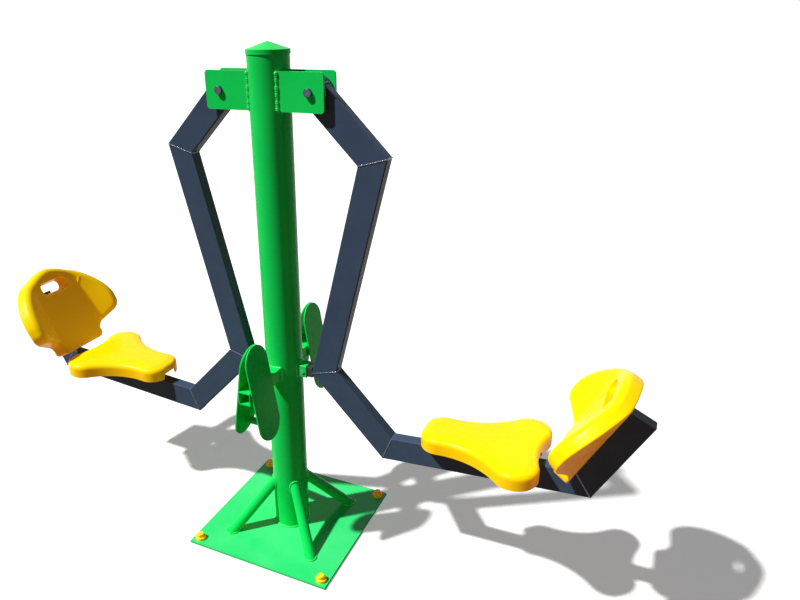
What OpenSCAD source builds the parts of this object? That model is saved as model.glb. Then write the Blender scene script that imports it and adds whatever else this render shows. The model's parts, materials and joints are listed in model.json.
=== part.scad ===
/* [Base plate] */
// Side of the square base plate
base_w = 500; // [420:5:600]
// Thickness of the base plate
base_t = 8; // [6:0.5:12]
// Distance between anchor holes along a side
anchor_pitch = 450; // [380:5:460]
// Diameter of the anchor holes
anchor_hole_d = 14; // [12:0.5:18]
// Diameter of the plastic anchor cap at its foot
anchor_cap_d = 34; // [28:1:38]
// Diameter of the knob on the anchor cap
anchor_knob_d = 22; // [20:0.5:25]
// Height of the anchor cap
anchor_cap_h = 20; // [18:0.5:26]

/* [Post] */
// Outer diameter of the post
post_d = 114.3; // [101.6:0.1:127]
// Wall of the post
post_wall = 3.6; // [3:0.1:5]
// Height of the post tube's upper edge above the ground
post_top = 1518; // [1500:5:1600]
// Rise of the conical cap above its rim
cap_rise = 19.5; // [14:0.5:30]
// Depth of the cap's skirt
cap_skirt = 12; // [8:1:20]
// Sheet thickness of the cap
cap_t = 1.8; // [1.5:0.1:3]
// Diameter of the four diagonal struts
strut_d = 33.7; // [26.9:0.1:42.4]
// Wall of the struts
strut_wall = 2.6; // [2:0.1:3.2]
// Distance from the post's centre to a strut's foot, along X and along Y
strut_foot = 147; // [130:1:170]
// Height at which a strut's centre line meets the post
strut_top = 168; // [140:1:200]

/* [Pivots] */
// Distance from the post's centre to each pivot
pivot_x = 135; // [130:1:150]
// Height of the pivots above the ground
pivot_z = 1418; // [1400:1:1430]
// Distance from the post's centre to a hanger plate's end
hanger_reach = 178; // [174:1:200]
// Height of the hanger plates
hanger_h = 100; // [90:1:110]
// Thickness of the hanger plates
hanger_t = 6; // [5:0.5:8]
// Corner radius of the hanger plates
hanger_r = 10; // [4:0.5:16]
// Clear width between a pair of hanger plates
hanger_gap = 64; // [60:1:70]
// Outer diameter of the arm's bearing housing
hub_d = 76; // [72:0.5:80]
// Length of the bearing housing
hub_len = 60; // [54:1:62]
// Diameter of the pivot axle
axle_d = 30; // [26:1:32]
// Outer diameter of a bearing
bearing_d = 62; // [58:1:64]
// Width of a bearing
bearing_w = 16; // [14:1:18]
// Diameter of a bearing ball
ball_d = 9.5; // [8:0.5:10]
// Number of balls in a bearing
ball_count = 9; // [7:1:10]
// Thread diameter of the pivot bolts
pivot_bolt_d = 12; // [10:1:14]
// Head diameter of the pivot bolts
pivot_head_d = 22; // [20:0.5:26]
// Head height of the pivot bolts
pivot_head_h = 10; // [7:0.5:12]

/* [Arms] */
// Width of the arm tube in the plane of the swing
arm_w = 76; // [70:1:80]
// Depth of the arm tube across the machine
arm_d = 38; // [34:1:44]
// Wall of the arm tube
arm_wall = 3; // [2.5:0.1:4]
// Outer corner radius of the arm tube
arm_r = 4; // [3:0.5:6]
// Length of the arm's top stretch
top_len = 236.6; // [225:1:250]
// Heading of the top stretch above the horizontal
top_heading = -45.1; // [-48:0.1:-42]
// Length of the long leg
leg_len = 656.2; // [640:1:670]
// Heading of the long leg
leg_heading = -103.6; // [-104.5:0.1:-102]
// Length of the knee stretch
knee_len = 297.7; // [290:1:310]
// Heading of the knee stretch
knee_heading = -46.1; // [-49:0.1:-44]
// Length of the seat bar
seat_bar_len = 564; // [555:1:600]
// Heading of the seat bar
seat_bar_heading = 4.45; // [2:0.05:7]
// Length of the back bar
back_bar_len = 253; // [245:1:280]
// Heading of the back bar
back_bar_heading = 63.6; // [60:0.1:68]
// Thickness of the plate that closes the back bar
end_plate_t = 3; // [2:0.5:5]

/* [Foot rests] */
// Side of the square tube that carries the foot plates
bar_w = 40; // [36:1:45]
// Wall of that tube
bar_wall = 3; // [2:0.5:4]
// Height of that tube's centre above the ground
bar_z = 599; // [580:1:620]
// Length of that tube
bar_len = 464; // [440:2:500]
// Length of a foot plate
foot_len = 300; // [270:2:300]
// Width of a foot plate
foot_w = 110; // [100:1:116]
// Thickness of a foot plate
foot_t = 4; // [3:0.5:4]
// Distance from the post's centre to a foot plate's centre, across the machine
foot_y = 172; // [165:1:185]
// Lean of a foot plate from the vertical
foot_lean = 9; // [6:0.5:9]
// Distance from the foot plate's lower end to the tube's centre line
foot_below = 159; // [159:1:180]
// Diameter of the rod that ties a pair of foot plates
tie_d = 22; // [16:1:26]
// Depth of that rod below the tube's centre
tie_drop = 108; // [90:1:120]

/* [Stops] */
// Reach of the stop bracket from the post's centre
stop_reach = 86.5; // [82:0.5:92]
// Depth of the rubber buffer inside the bracket
buffer_depth = 26; // [22:0.5:26]
// Diameter of the screw that holds the buffer
stop_screw_d = 6; // [5:0.5:8]

/* [Seats] */
// Length of the seat
seat_len = 348; // [330:1:352]
// Width of the seat over its lobes
seat_w = 312; // [290:1:330]
// Width of the seat's nose
nose_w = 146; // [136:1:156]
// Corner radius of the nose
nose_r = 55; // [48:1:62]
// Radius of the lobes
lobe_r = 62; // [56:1:68]
// Radius of the drawn-in sides
waist_r = 228; // [200:2:260]
// Radius of the hollow at the rear
rear_r = 220; // [200:2:260]
// Height of the seat from its rim to its top
seat_h = 49; // [44:1:54]
// Radius along the seat's upper edge
seat_edge_r = 16; // [12:1:20]
// Wall of the seat and backrest mouldings
shell_wall = 5; // [4:0.5:6]
// Distance from the seat bar's start to the seat's nose
seat_start = 114; // [110:1:120]
// Height of the seat's rim above the seat bar at mid length
seat_lift = 4; // [3:0.5:8]
// Tilt of the seat, nose up, from the seat bar
seat_tilt = 2.7; // [1.5:0.1:3]
// Width of the notches in the seat's rim over the bar
notch_w = 56; // [50:1:64]
// Height of those notches
notch_h = 20; // [16:1:22]
// Diameter of the moulded bosses under the seat
boss_d = 36; // [30:1:38]

/* [Backrests] */
// Height of the backrest along the back bar
back_len = 308; // [290:1:320]
// Width of the backrest measured over its bent surface
back_w = 390; // [360:2:400]
// Half width of the flat middle panel
fold_t = 97; // [90:1:105]
// Angle of the side wings
wing_angle = 35; // [25:1:40]
// Radius of the bend between the panel and a wing
fold_r = 40; // [30:1:60]
// Width of the tongue at the foot of the backrest
tongue_w = 192; // [170:2:200]
// Thickness of the backrest moulding
back_t = 48; // [40:1:54]
// Radius along the backrest's front edge
back_edge_r = 16; // [12:1:18]
// Distance from the back bar's start to the backrest's foot
back_start = 24; // [22:1:28]
// Gap between the back bar and the backrest's rear face
back_gap = 12; // [10:1:16]
// Width of the hand hole
hole_w = 114; // [100:2:124]
// Height of the hand hole
hole_h = 43; // [36:1:48]
// Distance from the backrest's top to the hand hole's upper edge
hole_drop = 47; // [40:1:52]
// Width of a boss behind the backrest, across the bar
pad_w = 64; // [56:1:70]
// Height of that boss along the bar
pad_h = 28; // [24:1:34]

/* [Fasteners] */
// Thread diameter of the seat and backrest bolts
bolt_d = 8; // [8:0.5:10]
// Width across the flats of their heads
bolt_af = 13; // [13:0.5:17]
// Height of their heads
bolt_head_h = 5.3; // [5:0.1:6.5]
// Outer diameter of their washers
washer_d = 16; // [16:0.5:20]
// Thickness of their washers
washer_t = 1.6; // [1.2:0.1:2.5]
// Diameter of the threaded inserts in the mouldings
insert_d = 13; // [12:0.5:15]
// Length of the threaded inserts
insert_len = 20; // [16:1:22]

/* [Clearances] */
// Gap between surfaces that move past each other
running_gap = 0.3; // [0.2:0.05:0.4]
// Play of a bolt in its hole
bolt_play = 1; // [0.6:0.1:1.5]
// Diameter of the holes in the bars' undersides through which the bolts go in
access_d = 22; // [20:1:24]
// Gap between the arm and the rubber buffer at rest
rest_gap = 0.3; // [0.2:0.05:0.5]

/* [Hidden] */

$fn = 64;
// Overrun of a cut past the surface that it opens
cut = 1;
post_r = post_d / 2;
anchor_at = anchor_pitch / 2;

// Sizes inside an anchor cap: the room for the nut, and the step where the knob starts
cap_room_d = 19;
cap_room_h = 14;
cap_step_share = 0.45;
cap_dome_share = 0.8;

// The cap's clearance on the post
cap_play = 0.3;
cap_lip_r = post_r + cap_play + cap_t;
cap_slope = cap_rise / cap_lip_r;
// Height of the cap's rim, so that the inside of its cone rests on the post's edge
cap_rim = post_top + cap_t - cap_rise + cap_slope * post_r;

// Distance of a strut's foot from the post's axis, and its run up to the post
strut_run = strut_foot * sqrt(2);
strut_rise = strut_top - base_t;
strut_back = strut_run - post_r;
strut_len = sqrt(pow(strut_back, 2) + pow(strut_rise, 2));
strut_lean = atan2(strut_back, strut_rise);

// Places across the machine at the pivots
hanger_in = hanger_gap / 2;
hanger_out = hanger_in + hanger_t;
shim_t = (hanger_gap - hub_len) / 2;
shim_wall = 3;
shim_d = axle_d + 2 * shim_wall;
thread_depth = 22;

// Sizes inside a bearing
bearing_mid = (bearing_d + axle_d) / 4;
ring_wall_share = 0.58;
inner_ring_r = axle_d / 2 + (bearing_mid - axle_d / 2) * ring_wall_share;
outer_ring_r = bearing_d / 2 - (bearing_d / 2 - bearing_mid) * ring_wall_share;
shield_t = 1;
spacer_len = hub_len - 2 * bearing_w;
hub_lip = 2;

// The arm's centre line, from the pivot down to the top of the back bar
headings = [top_heading, leg_heading, knee_heading, seat_bar_heading, back_bar_heading];
lengths = [top_len, leg_len, knee_len, seat_bar_len, back_bar_len];
function step(i) = lengths[i] * [cos(headings[i]), sin(headings[i])];
function joint_at(i) = i == 0 ? [pivot_x, pivot_z] : joint_at(i - 1) + step(i - 1);
joints = [for (i = [0 : len(lengths)]) joint_at(i)];
// Direction of the cut across the tube at each corner
function mitre_heading(i) =
    (headings[max(i - 1, 0)] + headings[min(i, len(headings) - 1)]) / 2 + 90;
function heading_vector(a) = [cos(a), sin(a)];

// The inner corner between the leg and the knee, where the arm rests on its buffer
stop_mitre = mitre_heading(2);
stop_half = arm_w / 2 / cos((headings[2] - headings[1]) / 2);
stop_corner = joints[2] - stop_half * heading_vector(stop_mitre);
stop_z = stop_corner[1];
buffer_end = stop_corner[0] - rest_gap;
buffer_w = bar_w - 2 * bar_wall - 2 * cap_play;
buffer_start = stop_reach - buffer_depth;
screw_x = stop_reach - buffer_depth / 2;
screw_head_d = 2 * stop_screw_d;
screw_head_share = 0.55;
screw_head_h = stop_screw_d * screw_head_share;

// Foot plates lean on the upper corners of their tube
foot_in = bar_w / 2 * (cos(foot_lean) + sin(foot_lean));

// Seat: places along its length, and the circles of its outline
nose_x = nose_r;
nose_y = nose_w / 2 - nose_r;
lobe_x = seat_len - lobe_r;
lobe_y = seat_w / 2 - lobe_r;
seat_mid = seat_len / 2;
seat_bolt_shares = [0.25, 0.72];
seat_bolt_at = seat_len * seat_bolt_shares;

// Backrest: its front face above the bar's centre line, and its bolts along the bar
back_face = arm_w / 2 + back_gap + back_t;
back_bolt_shares = [0.17, 0.47];
back_bolt_at = back_len * back_bolt_shares;

function circle_point(c, r, a) = c + r * [cos(a), sin(a)];
function arc(c, r, a0, a1, n) = [for (i = [0 : n]) circle_point(c, r, a0 + (a1 - a0) * i / n)];
function tail(list) = [for (i = [1 : len(list) - 1]) list[i]];
function heading_of(v) = atan2(v[1], v[0]);

// Centre of a circle of radius r3 that touches two circles from outside, on their left
function touching(c1, r1, c2, r2, r3) =
    let (a = r1 + r3, b = r2 + r3, d = norm(c2 - c1), u = (c2 - c1) / d,
         x = (a * a - b * b + d * d) / (2 * d), y = sqrt(a * a - x * x))
    c1 + u * x + [-u[1], u[0]] * y;

// Steps along each arc of the seat's outline
nose_steps = 9;
waist_steps = 7;
lobe_steps = 13;
rear_steps = 4;

// Half of the seat's outline, drawn in by d: nose corner, drawn-in side, lobe, rear hollow
function seat_half(d) =
    let (c1 = [nose_x, nose_y], c2 = [lobe_x, lobe_y],
         cw = touching(c1, nose_r, c2, lobe_r, waist_r),
         reach = sqrt(pow(lobe_r + rear_r, 2) - lobe_y * lobe_y), cr = [lobe_x + reach, 0],
         a1 = heading_of(cw - c1), a2 = heading_of(c1 - cw), a3 = heading_of(c2 - cw),
         a4 = heading_of(cw - c2), a5 = heading_of(cr - c2), a6 = heading_of(c2 - cr))
    concat(
        arc(c1, nose_r - d, 180, a1, nose_steps),
        tail(arc(cw, waist_r + d, a2, a3, waist_steps)),
        tail(arc(c2, lobe_r - d, a4, a5, lobe_steps)),
        tail(arc(cr, rear_r + d, a6, 180, rear_steps)));
// A half outline and its mirror image
function mirrored(half) =
    concat(half, [for (i = [len(half) - 2 : -1 : 0]) [half[i][0], -half[i][1]]]);
function seat_outline(d) = mirrored(seat_half(d));

function lifted(outline, z) = [for (p = outline) [p[0], p[1], z]];

// Strips across a ring that closes it, from each point to its mirror image
function strips(n, base) = let (last = (n - 3) / 2) concat(
    [for (i = [0 : last - 1]) [base + i, base + i + 1, base + n - 2 - i, base + n - 1 - i]],
    [[base + last, base + last + 1, base + last + 2]]);
function reversed(face) = [for (i = [len(face) - 1 : -1 : 0]) face[i]];

// Faces of a stack of rings with the same number of points, closed at both ends
function stack_faces(rings, n) = concat(
    strips(n, 0),
    [for (k = [0 : rings - 2], i = [0 : n - 1]) let (a = k * n, b = a + n, j = (i + 1) % n)
        each [[a + j, a + i, b + i], [a + j, b + i, b + j]]],
    [for (face = strips(n, (rings - 1) * n)) reversed(face)]);

module stack(rings) {
    n = len(rings[0]);
    polyhedron(points = [for (ring = rings) each ring], faces = stack_faces(len(rings), n),
        convexity = 8);
}

// Crown of the seat's top: how far each ring is drawn in, and how far below the top it lies
crown_in_shares = [2.1, 1.65, 1];
crown_drop_shares = [0, 0.06, 0.2];
edge_turns = [22.5, 45, 67.5];
// Depth of the lower end of that rounding, in shares of its radius
edge_depth_share = 1.2;
// The same corner inside the shell: how far each ring is drawn in, and how far below the roof it lies
corner_in_shares = [0.3, 0.9];
corner_drop_shares = [0.5, 0.2];

function seat_ring(d, z) = lifted(seat_outline(d), z);
// Rings of the seat from the middle of its top down to its rim
function seat_outside() = concat(
    [for (i = [0 : 2]) seat_ring(seat_edge_r * crown_in_shares[i], seat_h - seat_edge_r * crown_drop_shares[i])],
    [for (a = edge_turns) seat_ring(seat_edge_r * (1 - sin(a)), seat_h - seat_edge_r * (edge_depth_share - cos(a)))],
    [seat_ring(0, seat_h - edge_depth_share * seat_edge_r), seat_ring(0, 0)]);
function seat_inside() = concat(
    [seat_ring(shell_wall, 0), seat_ring(shell_wall, seat_h - edge_depth_share * seat_edge_r)],
    [for (i = [0, 1]) seat_ring(shell_wall + seat_edge_r * corner_in_shares[i],
        seat_h - shell_wall - seat_edge_r * corner_drop_shares[i])],
    [seat_ring(seat_edge_r * crown_in_shares[0], seat_h - shell_wall)]);

// Backrest outline as shares of its height and half width: tongue, drawn-in side, wing corner, arch
side_share = 0.15;
side_in_share = 0.96;
corner_share = 0.25;
arch_share = 0.405;
arch_power = 1.65;
centre_share = 0.485;
foot_corner_share = 0.055;
side_corner_share = 0.09;
wing_corner_share = 0.13;
slot_round_share = 0.42;
arch_steps = 16;
corner_steps = 5;

function unit(v) = v / norm(v);
// Arc of radius r that rounds the corner p1 between p0 and p2
function fillet(p0, p1, p2, r, n) =
    let (a = unit(p0 - p1), b = unit(p2 - p1), half = acos(a * b) / 2,
         c = p1 + unit(a + b) * r / sin(half), reach = r / tan(half),
         a0 = heading_of(p1 + a * reach - c), a1 = heading_of(p1 + b * reach - c),
         turn = (a1 - a0 + 540) % 360 - 180)
    arc(c, r, a0, a0 + turn, n);

function back_half() =
    let (half = back_w / 2, tongue = tongue_w / 2,
         foot = [0, tongue], side = [back_len * side_share, tongue * side_in_share],
         corner = [back_len * corner_share, half], arch = [back_len * arch_share, half],
         rise = back_len - arch[0])
    concat(
        fillet([0, 0], foot, side, back_len * foot_corner_share, corner_steps),
        fillet(foot, side, corner, back_len * side_corner_share, corner_steps),
        fillet(side, corner, arch, back_len * wing_corner_share, corner_steps),
        [for (i = [0 : arch_steps]) let (a = 90 * i / arch_steps)
            [arch[0] + rise * pow(sin(a), 2 / arch_power), half * pow(cos(a), 2 / arch_power)]]);

// The backrest's surface is flat in the middle and bends up into two wings
fold_start = fold_t - fold_r * wing_angle * PI / 360;
fold_end = fold_t + fold_r * wing_angle * PI / 360;
function bend_angle(t) = min(max((t - fold_start) / fold_r * 180 / PI, 0), wing_angle);
function bend_y(t) =
    min(t, fold_start) + fold_r * sin(bend_angle(t)) + max(t - fold_end, 0) * cos(wing_angle);
function bend_rise(t) =
    fold_r * (1 - cos(bend_angle(t))) + max(t - fold_end, 0) * sin(wing_angle);
// A point of the surface, sunk by a depth square to it
function bent(p, depth) =
    let (t = abs(p[1]), a = bend_angle(t))
    [p[0], sign(p[1]) * (bend_y(t) + depth * sin(a)), back_t + bend_rise(t) - depth * cos(a)];

back_centre = [back_len * centre_share, 0];
// One ring: the outline drawn in by d towards the centre and scaled by share, at a depth
function back_ring(share, d, depth) =
    [for (p = mirrored(back_half()))
        let (v = p - back_centre) bent(back_centre + v * share * (1 - d / norm(v)), depth)];
middle_shares = [0.25, 0.42, 0.56, 0.68, 0.8];
function backrest_rings() = concat(
    [for (share = middle_shares) back_ring(share, 0, 0)],
    [back_ring(1, back_edge_r, 0)],
    [for (a = edge_turns) back_ring(1, back_edge_r * (1 - sin(a)), back_edge_r * (1 - cos(a)))],
    [back_ring(1, 0, back_edge_r), back_ring(1, 0, back_t - shell_wall),
     back_ring(1, shell_wall, back_t)],
    [for (i = [len(middle_shares) - 1 : -2 : 0]) back_ring(middle_shares[i], 0, back_t)]);

// Placing helpers
module along_y() { rotate([90, 0, 0]) children(); }
module on_pivot() { translate([pivot_x, 0, pivot_z]) along_y() children(); }
module on_bar(i) { translate([joints[i][0], 0, joints[i][1]]) rotate([0, -headings[i], 0]) children(); }
module on_left() { mirror([1, 0, 0]) children(); }
module on_rear() { mirror([0, 1, 0]) children(); }
module both_sides() {
    children();
    on_left() children();
}
module both_faces() {
    children();
    on_rear() children();
}

module rounded_rect(w, d, r) {
    square([w - 2 * r, d], center = true);
    square([w, d - 2 * r], center = true);
    for (x = [-1, 1], y = [-1, 1]) translate([x * (w / 2 - r), y * (d / 2 - r)]) circle(r);
}

module ring(d, bore, len) {
    difference() {
        cylinder(d = d, h = len, center = true);
        cylinder(d = bore, h = len + 2 * cut, center = true);
    }
}

// A plate in the XZ plane, between two places across the machine
module plate_xz(points, y0, y1) {
    translate([0, y1, 0]) along_y() linear_extrude(y1 - y0) polygon(points);
}

module base_plate() {
    color("springgreen") difference() {
        translate([-base_w / 2, -base_w / 2, 0]) cube([base_w, base_w, base_t]);
        for (x = [-1, 1], y = [-1, 1])
            translate([x * anchor_at, y * anchor_at, -cut]) cylinder(d = anchor_hole_d, h = base_t + 2 * cut);
    }
}

// A strut on the diagonal in front and to the right, coped to the post and cut level with the plate
module strut() {
    bore = strut_d - 2 * strut_wall;
    color("mediumseagreen") difference() {
        rotate([0, 0, -45]) translate([strut_run, 0, base_t]) rotate([0, -strut_lean, 0])
            translate([0, 0, -strut_d]) difference() {
                cylinder(d = strut_d, h = strut_len + 2 * strut_d);
                translate([0, 0, -cut]) cylinder(d = bore, h = strut_len + 2 * (strut_d + cut));
            }
        cylinder(r = post_r, h = post_top);
        translate([-base_w / 2, -base_w / 2, base_t - base_w]) cube(base_w);
    }
}

// A stepped cap: a round foot and a knob over the nut, hollow inside
module anchor_cap() {
    step_z = anchor_cap_h * cap_step_share;
    foot_r = anchor_cap_d / 2;
    knob_r = anchor_knob_d / 2;
    foot_bevel = step_z * (1 - cap_dome_share);
    knob_bevel = knob_r * (1 - cap_dome_share);
    rotate_extrude() difference() {
        union() {
            square([foot_r, step_z - foot_bevel]);
            square([foot_r - foot_bevel, step_z]);
            translate([foot_r - foot_bevel, step_z - foot_bevel]) circle(foot_bevel);
            square([knob_r, anchor_cap_h - knob_bevel]);
            square([knob_r - knob_bevel, anchor_cap_h]);
            translate([knob_r - knob_bevel, anchor_cap_h - knob_bevel]) circle(knob_bevel);
        }
        translate([0, -cut]) square([cap_room_d / 2, cap_room_h + cut]);
    }
}
module anchor_caps() {
    color("gold") for (x = [-1, 1], y = [-1, 1])
        translate([x * anchor_at, y * anchor_at, base_t]) anchor_cap();
}

module post() {
    color("limegreen") difference() {
        translate([0, 0, base_t]) cylinder(d = post_d, h = post_top - base_t);
        translate([0, 0, base_t - cut]) cylinder(d = post_d - 2 * post_wall, h = post_top);
        translate([0, 0, bar_z]) along_y() linear_extrude(2 * post_d, center = true)
            rounded_rect(bar_w, bar_w, bar_wall);
    }
}

module post_cap() {
    lip = cap_lip_r;
    under = cap_t / cos(atan(cap_slope));
    color("mediumseagreen") rotate_extrude() polygon([
        [0, cap_rim + cap_rise], [lip, cap_rim], [lip, cap_rim - cap_skirt],
        [lip - cap_t, cap_rim - cap_skirt], [lip - cap_t, cap_rim + cap_slope * cap_t - under],
        [0, cap_rim + cap_rise - under]]);
}

// A hanger plate on the right, in front of the post's middle
module hanger() {
    top = pivot_z + hanger_h / 2;
    low = pivot_z - hanger_h / 2;
    inner = hanger_reach - hanger_r;
    color("limegreen") difference() {
        translate([0, -hanger_in, 0]) along_y() linear_extrude(hanger_t) {
            polygon([[0, low], [inner, low], [inner, top], [0, top]]);
            polygon([[0, low + hanger_r], [hanger_reach, low + hanger_r],
                     [hanger_reach, top - hanger_r], [0, top - hanger_r]]);
            for (z = [low + hanger_r, top - hanger_r]) translate([inner, z]) circle(hanger_r);
        }
        cylinder(r = post_r, h = post_top);
        on_pivot() cylinder(d = pivot_bolt_d + bolt_play, h = hanger_gap + 4 * hanger_t, center = true);
    }
}

module foot_bar() {
    color("seagreen") translate([0, 0, bar_z]) along_y() linear_extrude(bar_len, center = true) difference() {
        rounded_rect(bar_w, bar_w, bar_wall);
        square(bar_w - 2 * bar_wall, center = true);
    }
}

// A foot plate on the right, in front of the post, leaning on its tube's upper corner
module foot_plate() {
    r = foot_w / 2;
    color("forestgreen") translate([0, -foot_y, bar_z]) rotate([0, -foot_lean, 0])
        translate([foot_in, 0, -foot_below]) rotate([90, 0, 90]) linear_extrude(foot_t) {
            translate([0, r]) circle(r);
            translate([-r, r]) square([foot_w, foot_len - foot_w]);
            translate([0, foot_len - r]) circle(r);
        }
}

// Place of a foot plate's inner face at a height
function foot_face(z) = (foot_in - (z - bar_z) * sin(foot_lean)) / cos(foot_lean);
module foot_ties() {
    z = bar_z - tie_drop;
    low = z - tie_d;
    top = z + tie_d;
    color("forestgreen") for (y = [-foot_y, foot_y]) intersection() {
        translate([0, y, z]) rotate([0, 90, 0]) cylinder(d = tie_d, h = 4 * foot_face(low), center = true);
        plate_xz([[-foot_face(low), low], [foot_face(low), low], [foot_face(top), top], [-foot_face(top), top]],
            y - tie_d, y + tie_d);
    }
}

module on_stop_screw() { translate([screw_x, 0, stop_z]) along_y() children(); }
module stop_bracket() {
    color("limegreen") difference() {
        translate([0, 0, stop_z]) rotate([0, 90, 0]) linear_extrude(stop_reach) difference() {
            rounded_rect(bar_w, bar_w, bar_wall);
            square(bar_w - 2 * bar_wall, center = true);
        }
        cylinder(r = post_r, h = post_top);
        on_stop_screw() cylinder(d = stop_screw_d + cap_play, h = 2 * bar_w, center = true);
    }
}

module stop_buffer() {
    color("dimgray") difference() {
        translate([buffer_start, 0, stop_z]) rotate([0, 90, 0])
            linear_extrude(buffer_end - buffer_start) rounded_rect(buffer_w, buffer_w, bar_wall);
        on_stop_screw() cylinder(d = stop_screw_d + cap_play, h = 2 * bar_w, center = true);
    }
}

module hex_nut(af, d, h) {
    difference() {
        cylinder(r = af / sqrt(3), h = h, $fn = 6);
        translate([0, 0, -cut]) cylinder(d = d, h = h + 2 * cut);
    }
}
nut_height_share = 0.8;
nut_flats_share = 1.667;
module stop_screws() {
    nut_h = stop_screw_d * nut_height_share;
    nut_af = stop_screw_d * nut_flats_share;
    color("silver") both_sides() on_stop_screw() {
        translate([0, 0, -bar_w / 2 - nut_h]) cylinder(d = stop_screw_d, h = bar_w + nut_h);
        translate([0, 0, bar_w / 2]) cylinder(d = screw_head_d, h = screw_head_h);
        translate([0, 0, -bar_w / 2 - nut_h]) hex_nut(nut_af, stop_screw_d, nut_h);
    }
}

module pivot_axles() {
    color("silver") both_sides() on_pivot() difference() {
        cylinder(d = axle_d, h = hanger_gap, center = true);
        for (s = [0, 1]) mirror([0, 0, s]) translate([0, 0, hanger_in - thread_depth])
            cylinder(d = pivot_bolt_d, h = thread_depth + cut);
    }
}

module pivot_bolts() {
    r = pivot_head_d / 2;
    bevel = r * (1 - cap_dome_share);
    color("dimgray") both_sides() both_faces() on_pivot() {
        translate([0, 0, hanger_in - thread_depth]) cylinder(d = pivot_bolt_d, h = thread_depth + hanger_t);
        translate([0, 0, hanger_out]) cylinder(r = r, h = pivot_head_h - bevel);
        translate([0, 0, hanger_out + pivot_head_h - bevel]) cylinder(r1 = r, r2 = r - bevel, h = bevel);
    }
}

module pivot_shims() {
    color("silver") both_sides() both_faces() on_pivot()
        translate([0, 0, hanger_in - shim_t / 2]) ring(shim_d, axle_d, shim_t);
}
module bearing_spacers() { color("silver") both_sides() on_pivot() ring(shim_d, axle_d, spacer_len); }

// The groove that the balls run in
module ball_track() {
    rotate_extrude() translate([bearing_mid, 0]) circle(ball_d / 2 + running_gap);
}
module on_bearing() { on_pivot() translate([0, 0, hub_len / 2 - bearing_w / 2]) children(); }
module bearing_inner_rings() {
    color("lightgray") both_sides() both_faces() on_bearing() difference() {
        ring(2 * inner_ring_r, axle_d, bearing_w);
        ball_track();
    }
}
module right_bearing_outer_rings() {
    shield_bore = 2 * (inner_ring_r + running_gap);
    color("lightgray") both_faces() on_bearing() {
        difference() {
            ring(bearing_d, 2 * outer_ring_r, bearing_w);
            ball_track();
        }
        for (s = [0, 1]) mirror([0, 0, s]) translate([0, 0, bearing_w / 2 - shield_t / 2])
            ring(2 * outer_ring_r + 2 * shield_t, shield_bore, shield_t);
    }
}
module right_bearing_balls() {
    color("silver") both_faces() on_bearing() for (i = [0 : ball_count - 1])
        rotate([0, 0, 360 * i / ball_count]) translate([bearing_mid, 0, 0]) sphere(d = ball_d);
}

module right_hub() {
    color("slategray") on_pivot() difference() {
        cylinder(d = hub_d, h = hub_len, center = true);
        cylinder(d = bearing_d - 2 * hub_lip, h = hub_len + 2 * cut, center = true);
        for (s = [0, 1]) mirror([0, 0, s]) translate([0, 0, hub_len / 2 - bearing_w])
            cylinder(d = bearing_d, h = bearing_w + cut);
    }
}

// Stretch i of the arm: a rectangular tube cut along its mitres
module arm_stretch(i) {
    a = joints[i];
    b = joints[i + 1];
    ma = heading_vector(mitre_heading(i)) * arm_w;
    mb = heading_vector(mitre_heading(i + 1)) * arm_w;
    intersection() {
        on_bar(i) translate([-arm_w, 0, 0]) rotate([0, 90, 0])
            linear_extrude(lengths[i] + 2 * arm_w) difference() {
                rounded_rect(arm_w, arm_d, arm_r);
                rounded_rect(arm_w - 2 * arm_wall, arm_d - 2 * arm_wall, arm_r - arm_wall);
            }
        plate_xz([a - ma, b - mb, b + mb, a + ma], -arm_d, arm_d);
    }
}

module right_arm_top() {
    color("slategray") difference() {
        arm_stretch(0);
        on_pivot() cylinder(d = hub_d, h = hub_len, center = true);
    }
}
module right_arm_leg() { color("slategray") arm_stretch(1); }
module right_arm_knee() { color("slategray") arm_stretch(2); }

seat_bolts_on_bar = [for (x = seat_bolt_at) seat_start + x];
back_bolts_on_bar = [for (x = back_bolt_at) back_start + x];
// Where the washers bear: the inside of the tube's upper wall
bolt_seat_z = arm_w / 2 - arm_wall;
module bolt_holes(places) {
    for (x = places) translate([x, 0, 0]) {
        cylinder(d = bolt_d + bolt_play, h = arm_w);
        translate([0, 0, -arm_w]) cylinder(d = access_d, h = arm_w);
    }
}
module right_seat_bar() {
    color("slategray") difference() {
        arm_stretch(3);
        on_bar(3) bolt_holes(seat_bolts_on_bar);
    }
}
module right_back_bar() {
    color("slategray") difference() {
        arm_stretch(4);
        on_bar(4) bolt_holes(back_bolts_on_bar);
    }
}
module right_end_plate() {
    color("darkslategray") on_bar(4) translate([back_bar_len, 0, 0]) rotate([0, 90, 0])
        linear_extrude(end_plate_t) rounded_rect(arm_w, arm_d, arm_r);
}

// The seat's own frame: X from its nose, Z up from its rim
module on_seat() {
    on_bar(3) translate([seat_start + seat_mid, 0, arm_w / 2 + seat_lift])
        rotate([0, seat_tilt, 0]) translate([-seat_mid, 0, 0]) children();
}
module insert_holes(places) {
    for (x = places) translate([x, 0, arm_w / 2 - cut]) cylinder(d = insert_d, h = insert_len + cut);
}
// Bosses from the seat's roof down to the bar
module seat_bosses() {
    difference() {
        on_seat() for (x = seat_bolt_at) translate([x, 0, -seat_h])
            cylinder(d = boss_d, h = 2 * seat_h - shell_wall / 2);
        on_bar(3) translate([0, -seat_w / 2, arm_w / 2 - seat_w]) cube([seat_bar_len, seat_w, seat_w]);
    }
}
module right_seat() {
    color("gold") difference() {
        union() {
            on_seat() stack(concat(seat_outside(), seat_inside()));
            seat_bosses();
        }
        on_seat() translate([-cut, -notch_w / 2, -cut]) cube([nose_r, notch_w, notch_h + cut]);
        on_seat() translate([lobe_x, -notch_w / 2, -cut]) cube([seat_len, notch_w, notch_h + cut]);
        on_bar(3) insert_holes(seat_bolts_on_bar);
    }
}

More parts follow.
